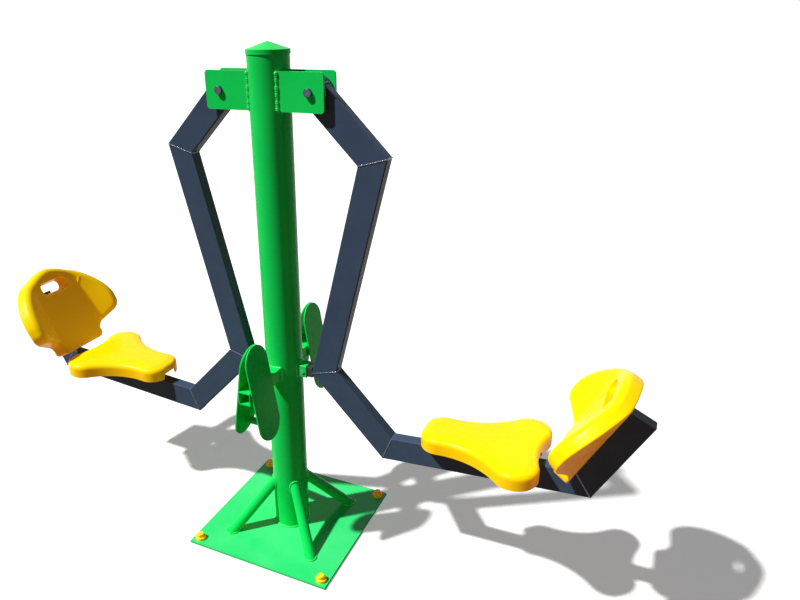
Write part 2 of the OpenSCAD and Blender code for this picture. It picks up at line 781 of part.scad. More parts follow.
module on_back() { on_bar(4) translate([back_start, 0, arm_w / 2 + back_gap]) children(); }
module rounded_slot(w, h, r, depth) {
    linear_extrude(depth) rounded_rect(w, h, r);
}
module right_backrest() {
    hole_x = back_len - hole_drop - hole_h / 2;
    color("gold") difference() {
        union() {
            on_back() stack(backrest_rings());
            on_back() for (x = back_bolt_at) translate([x, 0, -back_gap])
                rounded_slot(pad_h, pad_w, pad_h * slot_round_share, back_gap + shell_wall);
        }
        on_back() translate([hole_x, 0, -cut]) rounded_slot(hole_h, hole_w, hole_h * slot_round_share, 2 * back_t);
        on_bar(4) insert_holes(back_bolts_on_bar);
    }
}

module inserts_at(places) {
    for (x = places) translate([x, 0, arm_w / 2 + insert_len / 2]) ring(insert_d, bolt_d, insert_len);
}
module right_inserts() {
    color("goldenrod") {
        on_bar(3) inserts_at(seat_bolts_on_bar);
        on_bar(4) inserts_at(back_bolts_on_bar);
    }
}

module washers_at(places) {
    for (x = places) translate([x, 0, bolt_seat_z - washer_t / 2]) ring(washer_d, bolt_d + bolt_play, washer_t);
}
module right_bolt_washers() {
    color("silver") {
        on_bar(3) washers_at(seat_bolts_on_bar);
        on_bar(4) washers_at(back_bolts_on_bar);
    }
}

// Bolts inside the bar: a hexagon head under its washer, then a shank up to the insert's end
module bolts_at(places) {
    color("silver") for (x = places) translate([x, 0, bolt_seat_z - washer_t]) {
        translate([0, 0, -bolt_head_h]) cylinder(r = bolt_af / sqrt(3), h = bolt_head_h, $fn = 6);
        cylinder(d = bolt_d, h = washer_t + arm_wall + insert_len);
    }
}
module right_seat_bolts() { on_bar(3) bolts_at(seat_bolts_on_bar); }
module right_back_bolts() { on_bar(4) bolts_at(back_bolts_on_bar); }

base_plate();
strut();  // strut_front_right
on_left() strut();  // strut_front_left
on_rear() strut();  // strut_rear_right
on_rear() on_left() strut();  // strut_rear_left
anchor_caps();
post();
post_cap();
hanger();  // hanger_front_right
on_left() hanger();  // hanger_front_left
on_rear() hanger();  // hanger_rear_right
on_rear() on_left() hanger();  // hanger_rear_left
foot_bar();
foot_plate();  // foot_plate_front_right
on_left() foot_plate();  // foot_plate_front_left
on_rear() foot_plate();  // foot_plate_rear_right
on_rear() on_left() foot_plate();  // foot_plate_rear_left
foot_ties();
stop_bracket();  // stop_bracket_right
on_left() stop_bracket();  // stop_bracket_left
stop_buffer();  // stop_buffer_right
on_left() stop_buffer();  // stop_buffer_left
stop_screws();
pivot_axles();
pivot_bolts();
pivot_shims();
bearing_spacers();
bearing_inner_rings();
right_hub();
right_bearing_outer_rings();
right_bearing_balls();
right_arm_top();
right_arm_leg();
right_arm_knee();
right_seat_bar();
right_back_bar();
right_end_plate();
right_seat();
right_backrest();
right_seat_bolts();
right_back_bolts();
right_bolt_washers();
right_inserts();
on_left() right_hub();  // left_hub
on_left() right_bearing_outer_rings();  // left_bearing_outer_rings
on_left() right_bearing_balls();  // left_bearing_balls
on_left() right_arm_top();  // left_arm_top
on_left() right_arm_leg();  // left_arm_leg
on_left() right_arm_knee();  // left_arm_knee
on_left() right_seat_bar();  // left_seat_bar
on_left() right_back_bar();  // left_back_bar
on_left() right_end_plate();  // left_end_plate
on_left() right_seat();  // left_seat
on_left() right_backrest();  // left_backrest
on_left() right_seat_bolts();  // left_seat_bolts
on_left() right_back_bolts();  // left_back_bolts
on_left() right_bolt_washers();  // left_bolt_washers
on_left() right_inserts();  // left_inserts
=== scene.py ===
"""Looks of an outdoor leg press machine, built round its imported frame.

Lengths are in millimetres and are turned into metres where a mesh is made. The frame has its
origin on the ground at the post's centre, X to the right-hand seat and Z up.
"""

from __future__ import annotations

import json
import logging
import math
from dataclasses import dataclass
from enum import Enum
from typing import Sequence

import bpy
import numpy as np
from mathutils import Matrix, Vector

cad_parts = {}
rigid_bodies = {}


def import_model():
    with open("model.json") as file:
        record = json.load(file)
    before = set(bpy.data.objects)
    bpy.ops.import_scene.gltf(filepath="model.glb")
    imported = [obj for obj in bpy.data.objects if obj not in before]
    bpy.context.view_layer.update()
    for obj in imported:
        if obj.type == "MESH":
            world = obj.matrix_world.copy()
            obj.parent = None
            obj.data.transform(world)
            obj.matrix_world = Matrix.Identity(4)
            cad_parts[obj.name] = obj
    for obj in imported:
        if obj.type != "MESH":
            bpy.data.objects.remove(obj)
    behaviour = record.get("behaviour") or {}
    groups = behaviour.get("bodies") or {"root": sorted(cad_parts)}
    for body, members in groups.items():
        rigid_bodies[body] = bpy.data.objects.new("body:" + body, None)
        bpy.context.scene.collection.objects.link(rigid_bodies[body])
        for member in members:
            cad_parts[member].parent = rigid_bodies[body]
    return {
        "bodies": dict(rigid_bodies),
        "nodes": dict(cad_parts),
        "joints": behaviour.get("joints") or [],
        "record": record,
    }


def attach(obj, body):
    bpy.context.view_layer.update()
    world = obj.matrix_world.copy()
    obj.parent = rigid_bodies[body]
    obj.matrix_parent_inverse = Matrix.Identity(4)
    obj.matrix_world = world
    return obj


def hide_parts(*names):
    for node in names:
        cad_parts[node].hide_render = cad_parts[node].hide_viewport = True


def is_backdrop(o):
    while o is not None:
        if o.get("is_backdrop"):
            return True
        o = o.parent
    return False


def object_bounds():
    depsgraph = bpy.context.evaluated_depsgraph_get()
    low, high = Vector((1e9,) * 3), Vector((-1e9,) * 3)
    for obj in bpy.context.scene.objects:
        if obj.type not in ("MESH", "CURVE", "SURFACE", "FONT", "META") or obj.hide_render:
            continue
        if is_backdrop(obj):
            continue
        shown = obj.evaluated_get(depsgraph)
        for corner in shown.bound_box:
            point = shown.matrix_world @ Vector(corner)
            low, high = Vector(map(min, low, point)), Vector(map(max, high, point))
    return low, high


Array = np.ndarray
LOG = logging.getLogger("leg_press")
MM = 0.001
OUT = np.array([1.0, 0.0, 0.0])
ACROSS = np.array([0.0, 1.0, 0.0])
UP = np.array([0.0, 0.0, 1.0])
NOISE_SPAN = (0.3, 0.7)


class Side(Enum):
    """The two arms of the machine."""

    RIGHT = 1
    LEFT = -1

    @property
    def word(self) -> str:
        """The side's name as the nodes have it."""
        return self.name.lower()

    @property
    def body(self) -> str:
        """The body that the side's pieces ride on."""
        return f"{self.word}_arm"


class Finish(Enum):
    """The finishes of the machine, each by the name of its slot in the record."""

    GREEN = "green_paint"
    NAVY = "navy_paint"
    YELLOW = "seat_plastic"
    CAP = "anchor_cap"
    RUBBER = "rubber"
    DARK_BOLT = "dark_bolt"
    ZINC = "zinc"
    BEARING = "bearing_steel"
    BRASS = "brass"


@dataclass
class Surface:
    """A mesh as arrays: points, quads and triangles."""

    points: Array
    quads: Array
    tris: Array

    def closed_outward(self) -> "Surface":
        """Turns the faces so that the enclosed volume is positive.

        The volume is the sum over the triangles of a . (b x c) / 6.

        Returns:
            The surface itself.
        """
        halves = [self.tris, self.quads[:, [0, 1, 2]], self.quads[:, [0, 2, 3]]]
        corner = self.points[np.concatenate(halves)]
        volume = np.einsum("ij,ij->i", corner[:, 0], np.cross(corner[:, 1], corner[:, 2])).sum()
        if volume < 0:
            self.quads = self.quads[:, ::-1]
            self.tris = self.tris[:, ::-1]
        return self

    def on(self, side: Side) -> "Surface":
        """The surface on the given side: the left one is the mirror image across X = 0."""
        points = self.points * np.array([side.value, 1.0, 1.0])
        return Surface(points, self.quads, self.tris).closed_outward()


def joined(parts: Sequence[Surface]) -> Surface:
    """Puts several surfaces into one.

    Args:
        parts: The surfaces.

    Returns:
        One surface that holds all their points and faces.
    """
    starts = np.cumsum([0] + [len(p.points) for p in parts[:-1]])
    return Surface(
        np.concatenate([p.points for p in parts]),
        np.concatenate([p.quads + s for p, s in zip(parts, starts)]),
        np.concatenate([p.tris + s for p, s in zip(parts, starts)]),
    )


def loft(rings: Array, ring_of_rings: bool = False) -> Surface:
    """A skin over rings with the same number of points.

    Point i of ring k joins point i + 1 of the same ring and point i of ring k + 1. Open ends are
    closed by a fan from the middle of the end ring.

    Args:
        rings: The points, as rings x points x 3.
        ring_of_rings: Whether the last ring joins the first, as on a torus.

    Returns:
        The closed surface, faces outwards.
    """
    count, around, _ = rings.shape
    index = np.arange(count * around).reshape(count, around)
    beside = np.roll(index, -1, axis=1)
    if ring_of_rings:
        after, after_beside = np.roll(index, -1, axis=0), np.roll(beside, -1, axis=0)
        quads = np.stack([index, beside, after_beside, after], axis=-1).reshape(-1, 4)
        return Surface(rings.reshape(-1, 3), quads, np.zeros((0, 3), int)).closed_outward()
    quads = np.stack([index[:-1], beside[:-1], beside[1:], index[1:]], axis=-1).reshape(-1, 4)
    poles = np.stack([rings[0].mean(axis=0), rings[-1].mean(axis=0)])
    first, last = count * around, count * around + 1
    start_fan = np.stack([beside[0], index[0], np.full(around, first)], axis=-1)
    end_fan = np.stack([index[-1], beside[-1], np.full(around, last)], axis=-1)
    points = np.concatenate([rings.reshape(-1, 3), poles])
    return Surface(points, quads, np.concatenate([start_fan, end_fan])).closed_outward()


def unit(vectors: Array) -> Array:
    """Vectors scaled to length 1 along their last axis."""
    return vectors / np.linalg.norm(vectors, axis=-1, keepdims=True)


def smooth_step(x: Array, low: float, high: float) -> Array:
    """0 below low, 1 above high, and 3t^2 - 2t^3 of the share t of the way between."""
    t = np.clip((x - low) / (high - low), 0.0, 1.0)
    return t * t * (3.0 - 2.0 * t)


def even_loop(corners: Array, count: int) -> Array:
    """Points at even steps of length along a closed outline.

    Args:
        corners: The outline's points, without its first point again at the end.
        count: How many points to return.

    Returns:
        The points, as count x 2 or count x 3.
    """
    line = np.concatenate([corners, corners[:1]])
    run = np.concatenate([[0.0], np.cumsum(np.linalg.norm(np.diff(line, axis=0), axis=1))])
    places = np.linspace(0.0, run[-1], count, endpoint=False)
    return np.stack([np.interp(places, run, line[:, k]) for k in range(line.shape[1])], axis=1)


def arc(centre: Array, radius: float, start: float, end: float, count: int) -> Array:
    """Points on a circle, centre + radius (cos a, sin a), for a from start to end degrees."""
    a = np.radians(np.linspace(start, end, count))
    return centre + radius * np.stack([np.cos(a), np.sin(a)], axis=1)


def heading(vector: Array) -> float:
    """The angle of a plane vector in degrees."""
    return math.degrees(math.atan2(vector[1], vector[0]))


def rounded_rectangle(width: float, depth: float, radius: float, steps: int = 8) -> Array:
    """The outline of a rectangle with round corners, round its centre.

    Args:
        width: Its size along the first axis.
        depth: Its size along the second axis.
        radius: Its corners' radius.
        steps: Points on each corner.

    Returns:
        The outline's points.
    """
    x, y = width / 2 - radius, depth / 2 - radius
    corners = [(x, y, 0.0), (-x, y, 90.0), (-x, -y, 180.0), (x, -y, 270.0)]
    return np.concatenate([arc(np.array([a, b]), radius, t, t + 90.0, steps) for a, b, t in corners])


def new_piece(name: str, surface: Surface, body: str, finish: Finish, crease: float = 40.0,
              bead: bool = False) -> bpy.types.Object:
    """Makes an object from a surface and lets it ride on a body.

    Args:
        name: The object's name.
        surface: Its surface, in millimetres.
        body: The body that it moves with.
        finish: Its finish.
        crease: Edges sharper than this angle in degrees stay sharp.
        bead: Whether it is a weld bead, whose paint lies thicker and shines more, and on navy is paler as a
            painted highlight.

    Returns:
        The object, at the origin.
    """
    mesh = bpy.data.meshes.new(name)
    faces = surface.quads.tolist() + surface.tris.tolist()
    mesh.from_pydata((surface.points * MM).tolist(), [], faces)
    mesh.polygons.foreach_set("use_smooth", np.ones(len(faces), bool))
    mesh.set_sharp_from_angle(angle=math.radians(crease))
    mesh.update()
    piece = bpy.data.objects.new(name, mesh)
    bpy.context.scene.collection.objects.link(piece)
    mesh.materials.append(Paintbox.bead_material(finish) if bead else Paintbox.material(finish))
    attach(piece, body)
    LOG.info("%s: %d faces on %s", name, len(faces), body)
    return piece


class Shader:
    """One material's nodes, with short calls for the nodes that the finishes use."""

    def __init__(self, name: str) -> None:
        """Makes the material with a Principled shader and Object coordinates.

        Args:
            name: The material's name.
        """
        self.material = bpy.data.materials.new(name)
        self.material.use_nodes = True
        self.nodes = self.material.node_tree.nodes
        self.links = self.material.node_tree.links
        self.principled = self.nodes["Principled BSDF"]
        self.place = self.nodes.new("ShaderNodeTexCoord").outputs["Object"]

    def set(self, **values: object) -> None:
        """Sets the Principled shader's own sockets: Coat_Weight sets Coat Weight, and so on."""
        for key, value in values.items():
            self.principled.inputs[key.replace("_", " ")].default_value = value

    def noise(self, scale: float, detail: float = 2.0, roughness: float = 0.5) -> bpy.types.NodeSocket:
        """Noise of the given scale per metre.

        Args:
            scale: How many cells to a metre.
            detail: Octaves.
            roughness: Weight of the finer octaves.

        Returns:
            The node's Fac socket.
        """
        node = self.nodes.new("ShaderNodeTexNoise")
        node.inputs["Scale"].default_value = scale
        node.inputs["Detail"].default_value = detail
        node.inputs["Roughness"].default_value = roughness
        self.links.new(self.place, node.inputs["Vector"])
        return node.outputs["Fac"]

    def ramp(self, value: bpy.types.NodeSocket, low: float, high: float,
             first: Sequence[float], second: Sequence[float]) -> bpy.types.NodeSocket:
        """Two colours blended between two values of an input.

        Args:
            value: The input.
            low: Where the first colour ends.
            high: Where the second colour starts.
            first: The first colour.
            second: The second colour.

        Returns:
            The ramp's Color socket.
        """
        node = self.nodes.new("ShaderNodeValToRGB")
        node.color_ramp.elements[0].position = low
        node.color_ramp.elements[1].position = high
        node.color_ramp.elements[0].color = (*first, 1.0)
        node.color_ramp.elements[1].color = (*second, 1.0)
        self.links.new(value, node.inputs["Fac"])
        return node.outputs["Color"]

    def spread(self, value: bpy.types.NodeSocket, low: float, high: float) -> bpy.types.NodeSocket:
        """Noise, which lies mostly within NOISE_SPAN, stretched to the range from low to high.

        Args:
            value: The noise.
            low: The range's lower end.
            high: The range's upper end.

        Returns:
            The node's Result socket.
        """
        node = self.nodes.new("ShaderNodeMapRange")
        node.inputs["From Min"].default_value = NOISE_SPAN[0]
        node.inputs["From Max"].default_value = NOISE_SPAN[1]
        node.inputs["To Min"].default_value = low
        node.inputs["To Max"].default_value = high
        self.links.new(value, node.inputs["Value"])
        return node.outputs["Result"]

    def bump(self, height: bpy.types.NodeSocket, depth: float, strength: float = 1.0) -> None:
        """Adds a bump to the shader's normal, on top of those that it has.

        Args:
            height: The bump's height, from 0 to 1.
            depth: How far a height of 1 stands out, in metres.
            strength: How much of the bump shows.
        """
        node = self.nodes.new("ShaderNodeBump")
        node.inputs["Distance"].default_value = depth
        node.inputs["Strength"].default_value = strength
        self.links.new(height, node.inputs["Height"])
        normal = self.principled.inputs["Normal"]
        if normal.is_linked:
            self.links.new(normal.links[0].from_socket, node.inputs["Normal"])
        self.links.new(node.outputs["Normal"], normal)

    def drive(self, socket: str, value: bpy.types.NodeSocket) -> None:
        """Links a value to one of the shader's sockets."""
        self.links.new(value, self.principled.inputs[socket])


@dataclass(frozen=True)
class PowderCoat:
    """Sprayed and baked paint: a faint orange-peel surface and slow changes of tone.

    The roughness wanders from a little below its value, by polish, to a little above it, by haze.
    """

    pale: tuple[float, float, float]
    deep: tuple[float, float, float]
    roughness: float = 0.3
    specular: float = 0.35
    coat: float = 0.0
    coat_roughness: float = 0.1
    peel_scale: float = 420.0
    peel_depth: float = 0.00002
    tone_scale: float = 9.0
    tone_span: tuple[float, float] = (0.35, 0.65)
    gloss_scale: float = 60.0
    polish: float = 0.05
    haze: float = 0.07

    def dress(self, shader: Shader) -> None:
        """Builds the finish's nodes.

        Args:
            shader: The material that takes them.
        """
        tone = shader.noise(self.tone_scale, 4.0, 0.6)
        shader.drive("Base Color", shader.ramp(tone, *self.tone_span, self.deep, self.pale))
        gloss = shader.noise(self.gloss_scale, 3.0)
        low, high = self.roughness - self.polish, self.roughness + self.haze
        shader.drive("Roughness", shader.spread(gloss, low, high))
        shader.bump(shader.noise(self.peel_scale, 1.0), self.peel_depth)
        shader.set(Coat_Weight=self.coat, Coat_Roughness=self.coat_roughness,
                   Specular_IOR_Level=self.specular)


@dataclass(frozen=True)
class MouldedPlastic:
    """Moulded plastic, dyed through: a soft shine, a fine grain and slight waviness.

    A faint painted glow, an orange emission, lightens the plastic's shade; it stands for the daylight that
    the thin walls let through.
    """

    pale: tuple[float, float, float]
    deep: tuple[float, float, float]
    roughness: float = 0.3
    specular: float = 0.12
    glow: float = 0.12
    glow_tint: tuple[float, float, float] = (1.0, 0.18, 0.0)
    grain_scale: float = 900.0
    grain_depth: float = 0.000006
    wave_scale: float = 22.0
    wave_depth: float = 0.0006
    wave_strength: float = 0.2
    tone_scale: float = 5.0
    gloss_scale: float = 35.0
    polish: float = 0.04
    haze: float = 0.08

    def dress(self, shader: Shader) -> None:
        """Builds the finish's nodes.

        Args:
            shader: The material that takes them.
        """
        tone = shader.noise(self.tone_scale, 3.0, 0.6)
        shader.drive("Base Color", shader.ramp(tone, *NOISE_SPAN, self.deep, self.pale))
        gloss = shader.noise(self.gloss_scale, 4.0)
        low, high = self.roughness - self.polish, self.roughness + self.haze
        shader.drive("Roughness", shader.spread(gloss, low, high))
        shader.bump(shader.noise(self.wave_scale, 1.0), self.wave_depth, self.wave_strength)
        shader.bump(shader.noise(self.grain_scale, 2.0), self.grain_depth)
        # Emission: a painted orange glow that lightens the plastic's shade.
        shader.set(Specular_IOR_Level=self.specular, Emission_Color=(*self.glow_tint, 1.0),
                   Emission_Strength=self.glow)
        shader.material.cycles.emission_sampling = "NONE"


@dataclass(frozen=True)
class Metal:
    """Bare or plated metal with a fine cast of scratches."""

    pale: tuple[float, float, float]
    deep: tuple[float, float, float]
    roughness: float = 0.35
    scratch_scale: float = 900.0
    scratch_depth: float = 0.00002
    tone_scale: float = 120.0
    gloss_scale: float = 400.0
    polish: float = 0.08
    haze: float = 0.12

    def dress(self, shader: Shader) -> None:
        """Builds the finish's nodes.

        Args:
            shader: The material that takes them.
        """
        tone = shader.noise(self.tone_scale, 4.0, 0.6)
        shader.drive("Base Color", shader.ramp(tone, *NOISE_SPAN, self.deep, self.pale))
        gloss = shader.noise(self.gloss_scale, 3.0)
        low, high = self.roughness - self.polish, self.roughness + self.haze
        shader.drive("Roughness", shader.spread(gloss, low, high))
        shader.bump(shader.noise(self.scratch_scale, 2.0), self.scratch_depth)
        shader.set(Metallic=1.0)


@dataclass(frozen=True)
class MattRubber:
    """Black rubber: dull, slightly greyed and finely pitted."""

    pale: tuple[float, float, float]
    deep: tuple[float, float, float]
    roughness: tuple[float, float] = (0.65, 0.85)
    tone_scale: float = 70.0
    gloss_scale: float = 200.0
    pit_scale: float = 1200.0
    pit_depth: float = 0.00008

    def dress(self, shader: Shader) -> None:
        """Builds the finish's nodes.

        Args:
            shader: The material that takes them.
        """
        tone = shader.noise(self.tone_scale, 5.0, 0.7)
        shader.drive("Base Color", shader.ramp(tone, *NOISE_SPAN, self.deep, self.pale))
        shader.drive("Roughness", shader.spread(shader.noise(self.gloss_scale, 2.0), *self.roughness))
        shader.bump(shader.noise(self.pit_scale, 2.0), self.pit_depth)


Recipe = PowderCoat | MouldedPlastic | Metal | MattRubber


class Paintbox:
    """Makes each finish's material once and hands it out."""

    recipes: dict[Finish, Recipe] = {
        Finish.GREEN: PowderCoat((0.006, 0.74, 0.117), (0.005, 0.67, 0.102), 0.26, 0.06),
        Finish.NAVY: PowderCoat((0.048, 0.083, 0.141), (0.042, 0.071, 0.123), 0.32, 0.04, peel_scale=380.0),
        Finish.YELLOW: MouldedPlastic((1.0, 0.75, 0.0), (1.0, 0.72, 0.0), 0.27),
        Finish.CAP: MouldedPlastic((1.0, 0.75, 0.012), (0.98, 0.66, 0.008), 0.32, 0.25),
        Finish.RUBBER: MattRubber((0.03, 0.03, 0.032), (0.012, 0.012, 0.013)),
        Finish.DARK_BOLT: Metal((0.11, 0.125, 0.155), (0.06, 0.07, 0.09), 0.26),
        Finish.ZINC: Metal((0.62, 0.63, 0.66), (0.42, 0.43, 0.46), 0.34),
        Finish.BEARING: Metal((0.75, 0.75, 0.77), (0.6, 0.6, 0.63), 0.16),
        Finish.BRASS: Metal((0.78, 0.58, 0.22), (0.6, 0.42, 0.14), 0.28),
    }
    beads: dict[Finish, Recipe] = {
        Finish.GREEN: PowderCoat((0.008, 0.74, 0.12), (0.005, 0.66, 0.10), 0.24, 0.28, 0.2),
        # Navy beads: the paler colour is a painted highlight along the welds; specular and coat are real
        # gloss.
        Finish.NAVY: PowderCoat((0.09, 0.12, 0.18), (0.05, 0.075, 0.125), 0.14, 0.6, 0.4),
    }
    lying: dict[str, Recipe] = {
        # Base plate: the paler, bluer colour is a painted sheen of the sky; the higher specular is real
        # gloss.
        "base_plate": PowderCoat((0.05, 0.77, 0.22), (0.015, 0.72, 0.165), 0.2, 0.16, tone_scale=4.0),
    }
    made: dict[str, bpy.types.Material] = {}

    @classmethod
    def material(cls, finish: Finish) -> bpy.types.Material:
        """The finish's material, made at its first use."""
        return cls.mixed(finish.value, cls.recipes[finish])

    @classmethod
    def bead_material(cls, finish: Finish) -> bpy.types.Material:
        """The glossier material of the finish on weld beads, paler on navy as a painted highlight."""
        return cls.mixed(f"{finish.value}_bead", cls.beads[finish])

    @classmethod
    def mixed(cls, name: str, recipe: Recipe) -> bpy.types.Material:
        """The material of a name, made from its recipe at its first use.

        Args:
            name: The material's name.
            recipe: The finish that dresses it.

        Returns:
            The material.
        """
        if name not in cls.made:
            shader = Shader(name)
            recipe.dress(shader)
            cls.made[name] = shader.material
        return cls.made[name]

    @classmethod
    def dress_nodes(cls, frame: dict) -> None:
        """Gives every node of the frame the material of its slot in the record.

        The base plate has its own finish: a paler, bluer colour, which is a painted sheen of the sky, and a
        real, higher gloss.
        """
        slots = {part["node"]: part["material_slot"] for part in frame["record"]["subparts"]}
        for name, node in frame["nodes"].items():
            if name in cls.lying:
                material = cls.mixed(f"{slots[name]}_flat", cls.lying[name])
            else:
                material = cls.material(Finish(slots[name]))
            node.data.materials.clear()
            node.data.materials.append(material)
            LOG.info("%s: %s", name, slots[name])


@dataclass(frozen=True)
class Weld:
    """A weld bead: a tube of uneven width along a path, with the ripples of its pools.

    The pitch is the length of a ripple, and ripple and sway are shares of the radius.
    """

    radius: float = 3.0
    pitch: float = 4.5
    ripple: float = 0.12
    sway: float = 0.10
    sway_slow: float = 9.7
    sway_quick: float = 4.1
    sway_start: float = 1.3
    tip: float = 0.08
    sides: int = 10
    steps: int = 5

    def bead(self, path: Array, outward: Array, closed: bool) -> Surface:
        """The bead's surface.

        The radius along the path is r (1 + ripple |sin(pi s / pitch)| + sway sin(s / slow + start)
        sin(s / quick)), where s is the length run so far. An open bead tapers round at both ends.

        Args:
            path: Points of the bead's centre line, in millimetres.
            outward: One vector, or one for each point, that isn't along the path.
            closed: Whether the path returns to its start.

        Returns:
            The closed surface.
        """
        before, after = np.roll(path, 1, axis=0), np.roll(path, -1, axis=0)
        if not closed:
            before[0], after[-1] = path[0], path[-1]
        along = unit(after - before)
        first = unit(np.cross(along, np.broadcast_to(outward, path.shape)))
        second = np.cross(along, first)
        gaps = np.linalg.norm(np.diff(path, axis=0), axis=1)
        run = np.concatenate([[0.0], np.cumsum(gaps)])
        ripple = self.ripple * np.abs(np.sin(math.pi * run / self.pitch))
        sway = self.sway * np.sin(run / self.sway_slow + self.sway_start) * np.sin(run / self.sway_quick)
        radius = self.radius * (1.0 + ripple + sway)
        if not closed:
            taper = np.minimum(run, run[-1] - run) / self.radius
            radius = radius * np.sqrt(np.clip(taper, self.tip, 1.0))
        turn = np.linspace(0.0, 2 * math.pi, self.sides, endpoint=False)
        offset = first[:, None] * np.cos(turn)[:, None] + second[:, None] * np.sin(turn)[:, None]
        return loft(path[:, None] + radius[:, None, None] * offset, closed)

    def along(self, start: Sequence[float], end: Sequence[float], outward: Sequence[float]) -> Surface:
        """A straight bead, with a few steps to each ripple.

        Args:
            start: Where it starts.
            end: Where it ends.
            outward: A vector that isn't along the bead.

        Returns:
            The closed surface.
        """
        a, b = np.array(start, float), np.array(end, float)
        count = max(int(np.linalg.norm(b - a) / self.pitch * self.steps), 8)
        share = np.linspace(0.0, 1.0, count)[:, None]
        return self.bead(a + (b - a) * share, np.array(outward, float), False)


@dataclass(frozen=True)
class Stretch:
    """One straight tube of the arm.

    Its own frame has X along it, Y across the machine and Z towards the sitter.
    """

    start: Array
    heading: float
    length: float

    @property
    def along(self) -> Array:
        """The tube's direction."""
        a = math.radians(self.heading)
        return np.array([math.cos(a), 0.0, math.sin(a)])

    @property
    def normal(self) -> Array:
        """The direction of its wide side's upper face."""
        a = math.radians(self.heading)
        return np.array([-math.sin(a), 0.0, math.cos(a)])

    @property
    def end(self) -> Array:
        """The far end of its centre line."""
        return self.start + self.along * self.length

    def place(self, local: Array) -> Array:
        """Points of the tube's own frame as points of the machine's frame."""
        x, y, z = local[..., :1], local[..., 1:2], local[..., 2:]
        return self.start + x * self.along + y * ACROSS + z * self.normal


@dataclass
class SwingArm:
    """The arm's sizes and the places that follow from them.

    Its five tubes run from the hub down to the seat bar and up along the back.
    """

    pivot_x: float = 135.0
    pivot_z: float = 1418.0
    lengths: tuple[float, ...] = (236.6, 656.2, 297.7, 564.0, 253.0)
    headings: tuple[float, ...] = (-45.1, -103.6, -46.1, 4.45, 63.6)
    width: float = 76.0
    depth: float = 38.0
    corner_r: float = 4.0
    hub_r: float = 38.0
    hub_trim: float = 0.4
    mitre_sink: float = 0.3
    hub_stand: float = 0.2
    loop_points: int = 320

    def __post_init__(self) -> None:
        """Lays the stretches end to end from the pivot."""
        self.stretches: list[Stretch] = []
        start = np.array([self.pivot_x, 0.0, self.pivot_z])
        for length, angle in zip(self.lengths, self.headings):
            self.stretches.append(Stretch(start, angle, length))
            start = self.stretches[-1].end

    def mitre_path(self, corner: int, grow: float) -> Array:
        """The closed line round the tube at a mitre.

        The tube's outline, grown by a little, lies in the plane that halves the corner: its height
        z is stretched by 1 / cos(half the turn) along the cut.

        Args:
            corner: Number of the corner, 1 for the first below the pivot.
            grow: How far the line stands out from the tube.

        Returns:
            The line's points.
        """
        turn = self.headings[corner] - self.headings[corner - 1]
        cut = math.radians((self.headings[corner] + self.headings[corner - 1]) / 2 + 90.0)
        direction = np.array([math.cos(cut), 0.0, math.sin(cut)])
        outline = rounded_rectangle(self.width + 2 * grow, self.depth + 2 * grow, self.corner_r + grow)
        outline = even_loop(outline, self.loop_points)
        height = outline[:, :1] / math.cos(math.radians(turn / 2))
        return self.stretches[corner].start + height * direction + outline[:, 1:] * ACROSS

    def hub_path(self, grow: float) -> Array:
        """The closed line where the top tube meets the hub: x = sqrt(hub_r^2 - z^2) along the tube.

        Args:
            grow: How far the line stands out from tube and hub.

        Returns:
            The line's points.
        """
        width, depth = self.width - self.hub_trim, self.depth + 2 * grow
        outline = even_loop(rounded_rectangle(width, depth, self.corner_r + grow), self.loop_points)
        reach = np.sqrt(np.maximum((self.hub_r + grow) ** 2 - outline[:, 0] ** 2, 0.0))
        return self.stretches[0].place(np.stack([reach, outline[:, 1], outline[:, 0]], axis=1))

    def build_welds(self, side: Side) -> None:
        """Welds at the four mitres and at the hub, as one piece.

        Args:
            side: The arm that they are on.
        """
        weld = Weld(radius=1.7, pitch=3.2, ripple=0.16)
        beads = []
        for corner in range(1, len(self.stretches)):
            path = self.mitre_path(corner, -self.mitre_sink)
            beads.append(weld.bead(path, self.stretches[corner].along, True))
        beads.append(weld.bead(self.hub_path(self.hub_stand), self.stretches[0].along, True))
        new_piece(f"{side.word}_arm_welds", joined(beads).on(side), side.body, Finish.NAVY, bead=True)


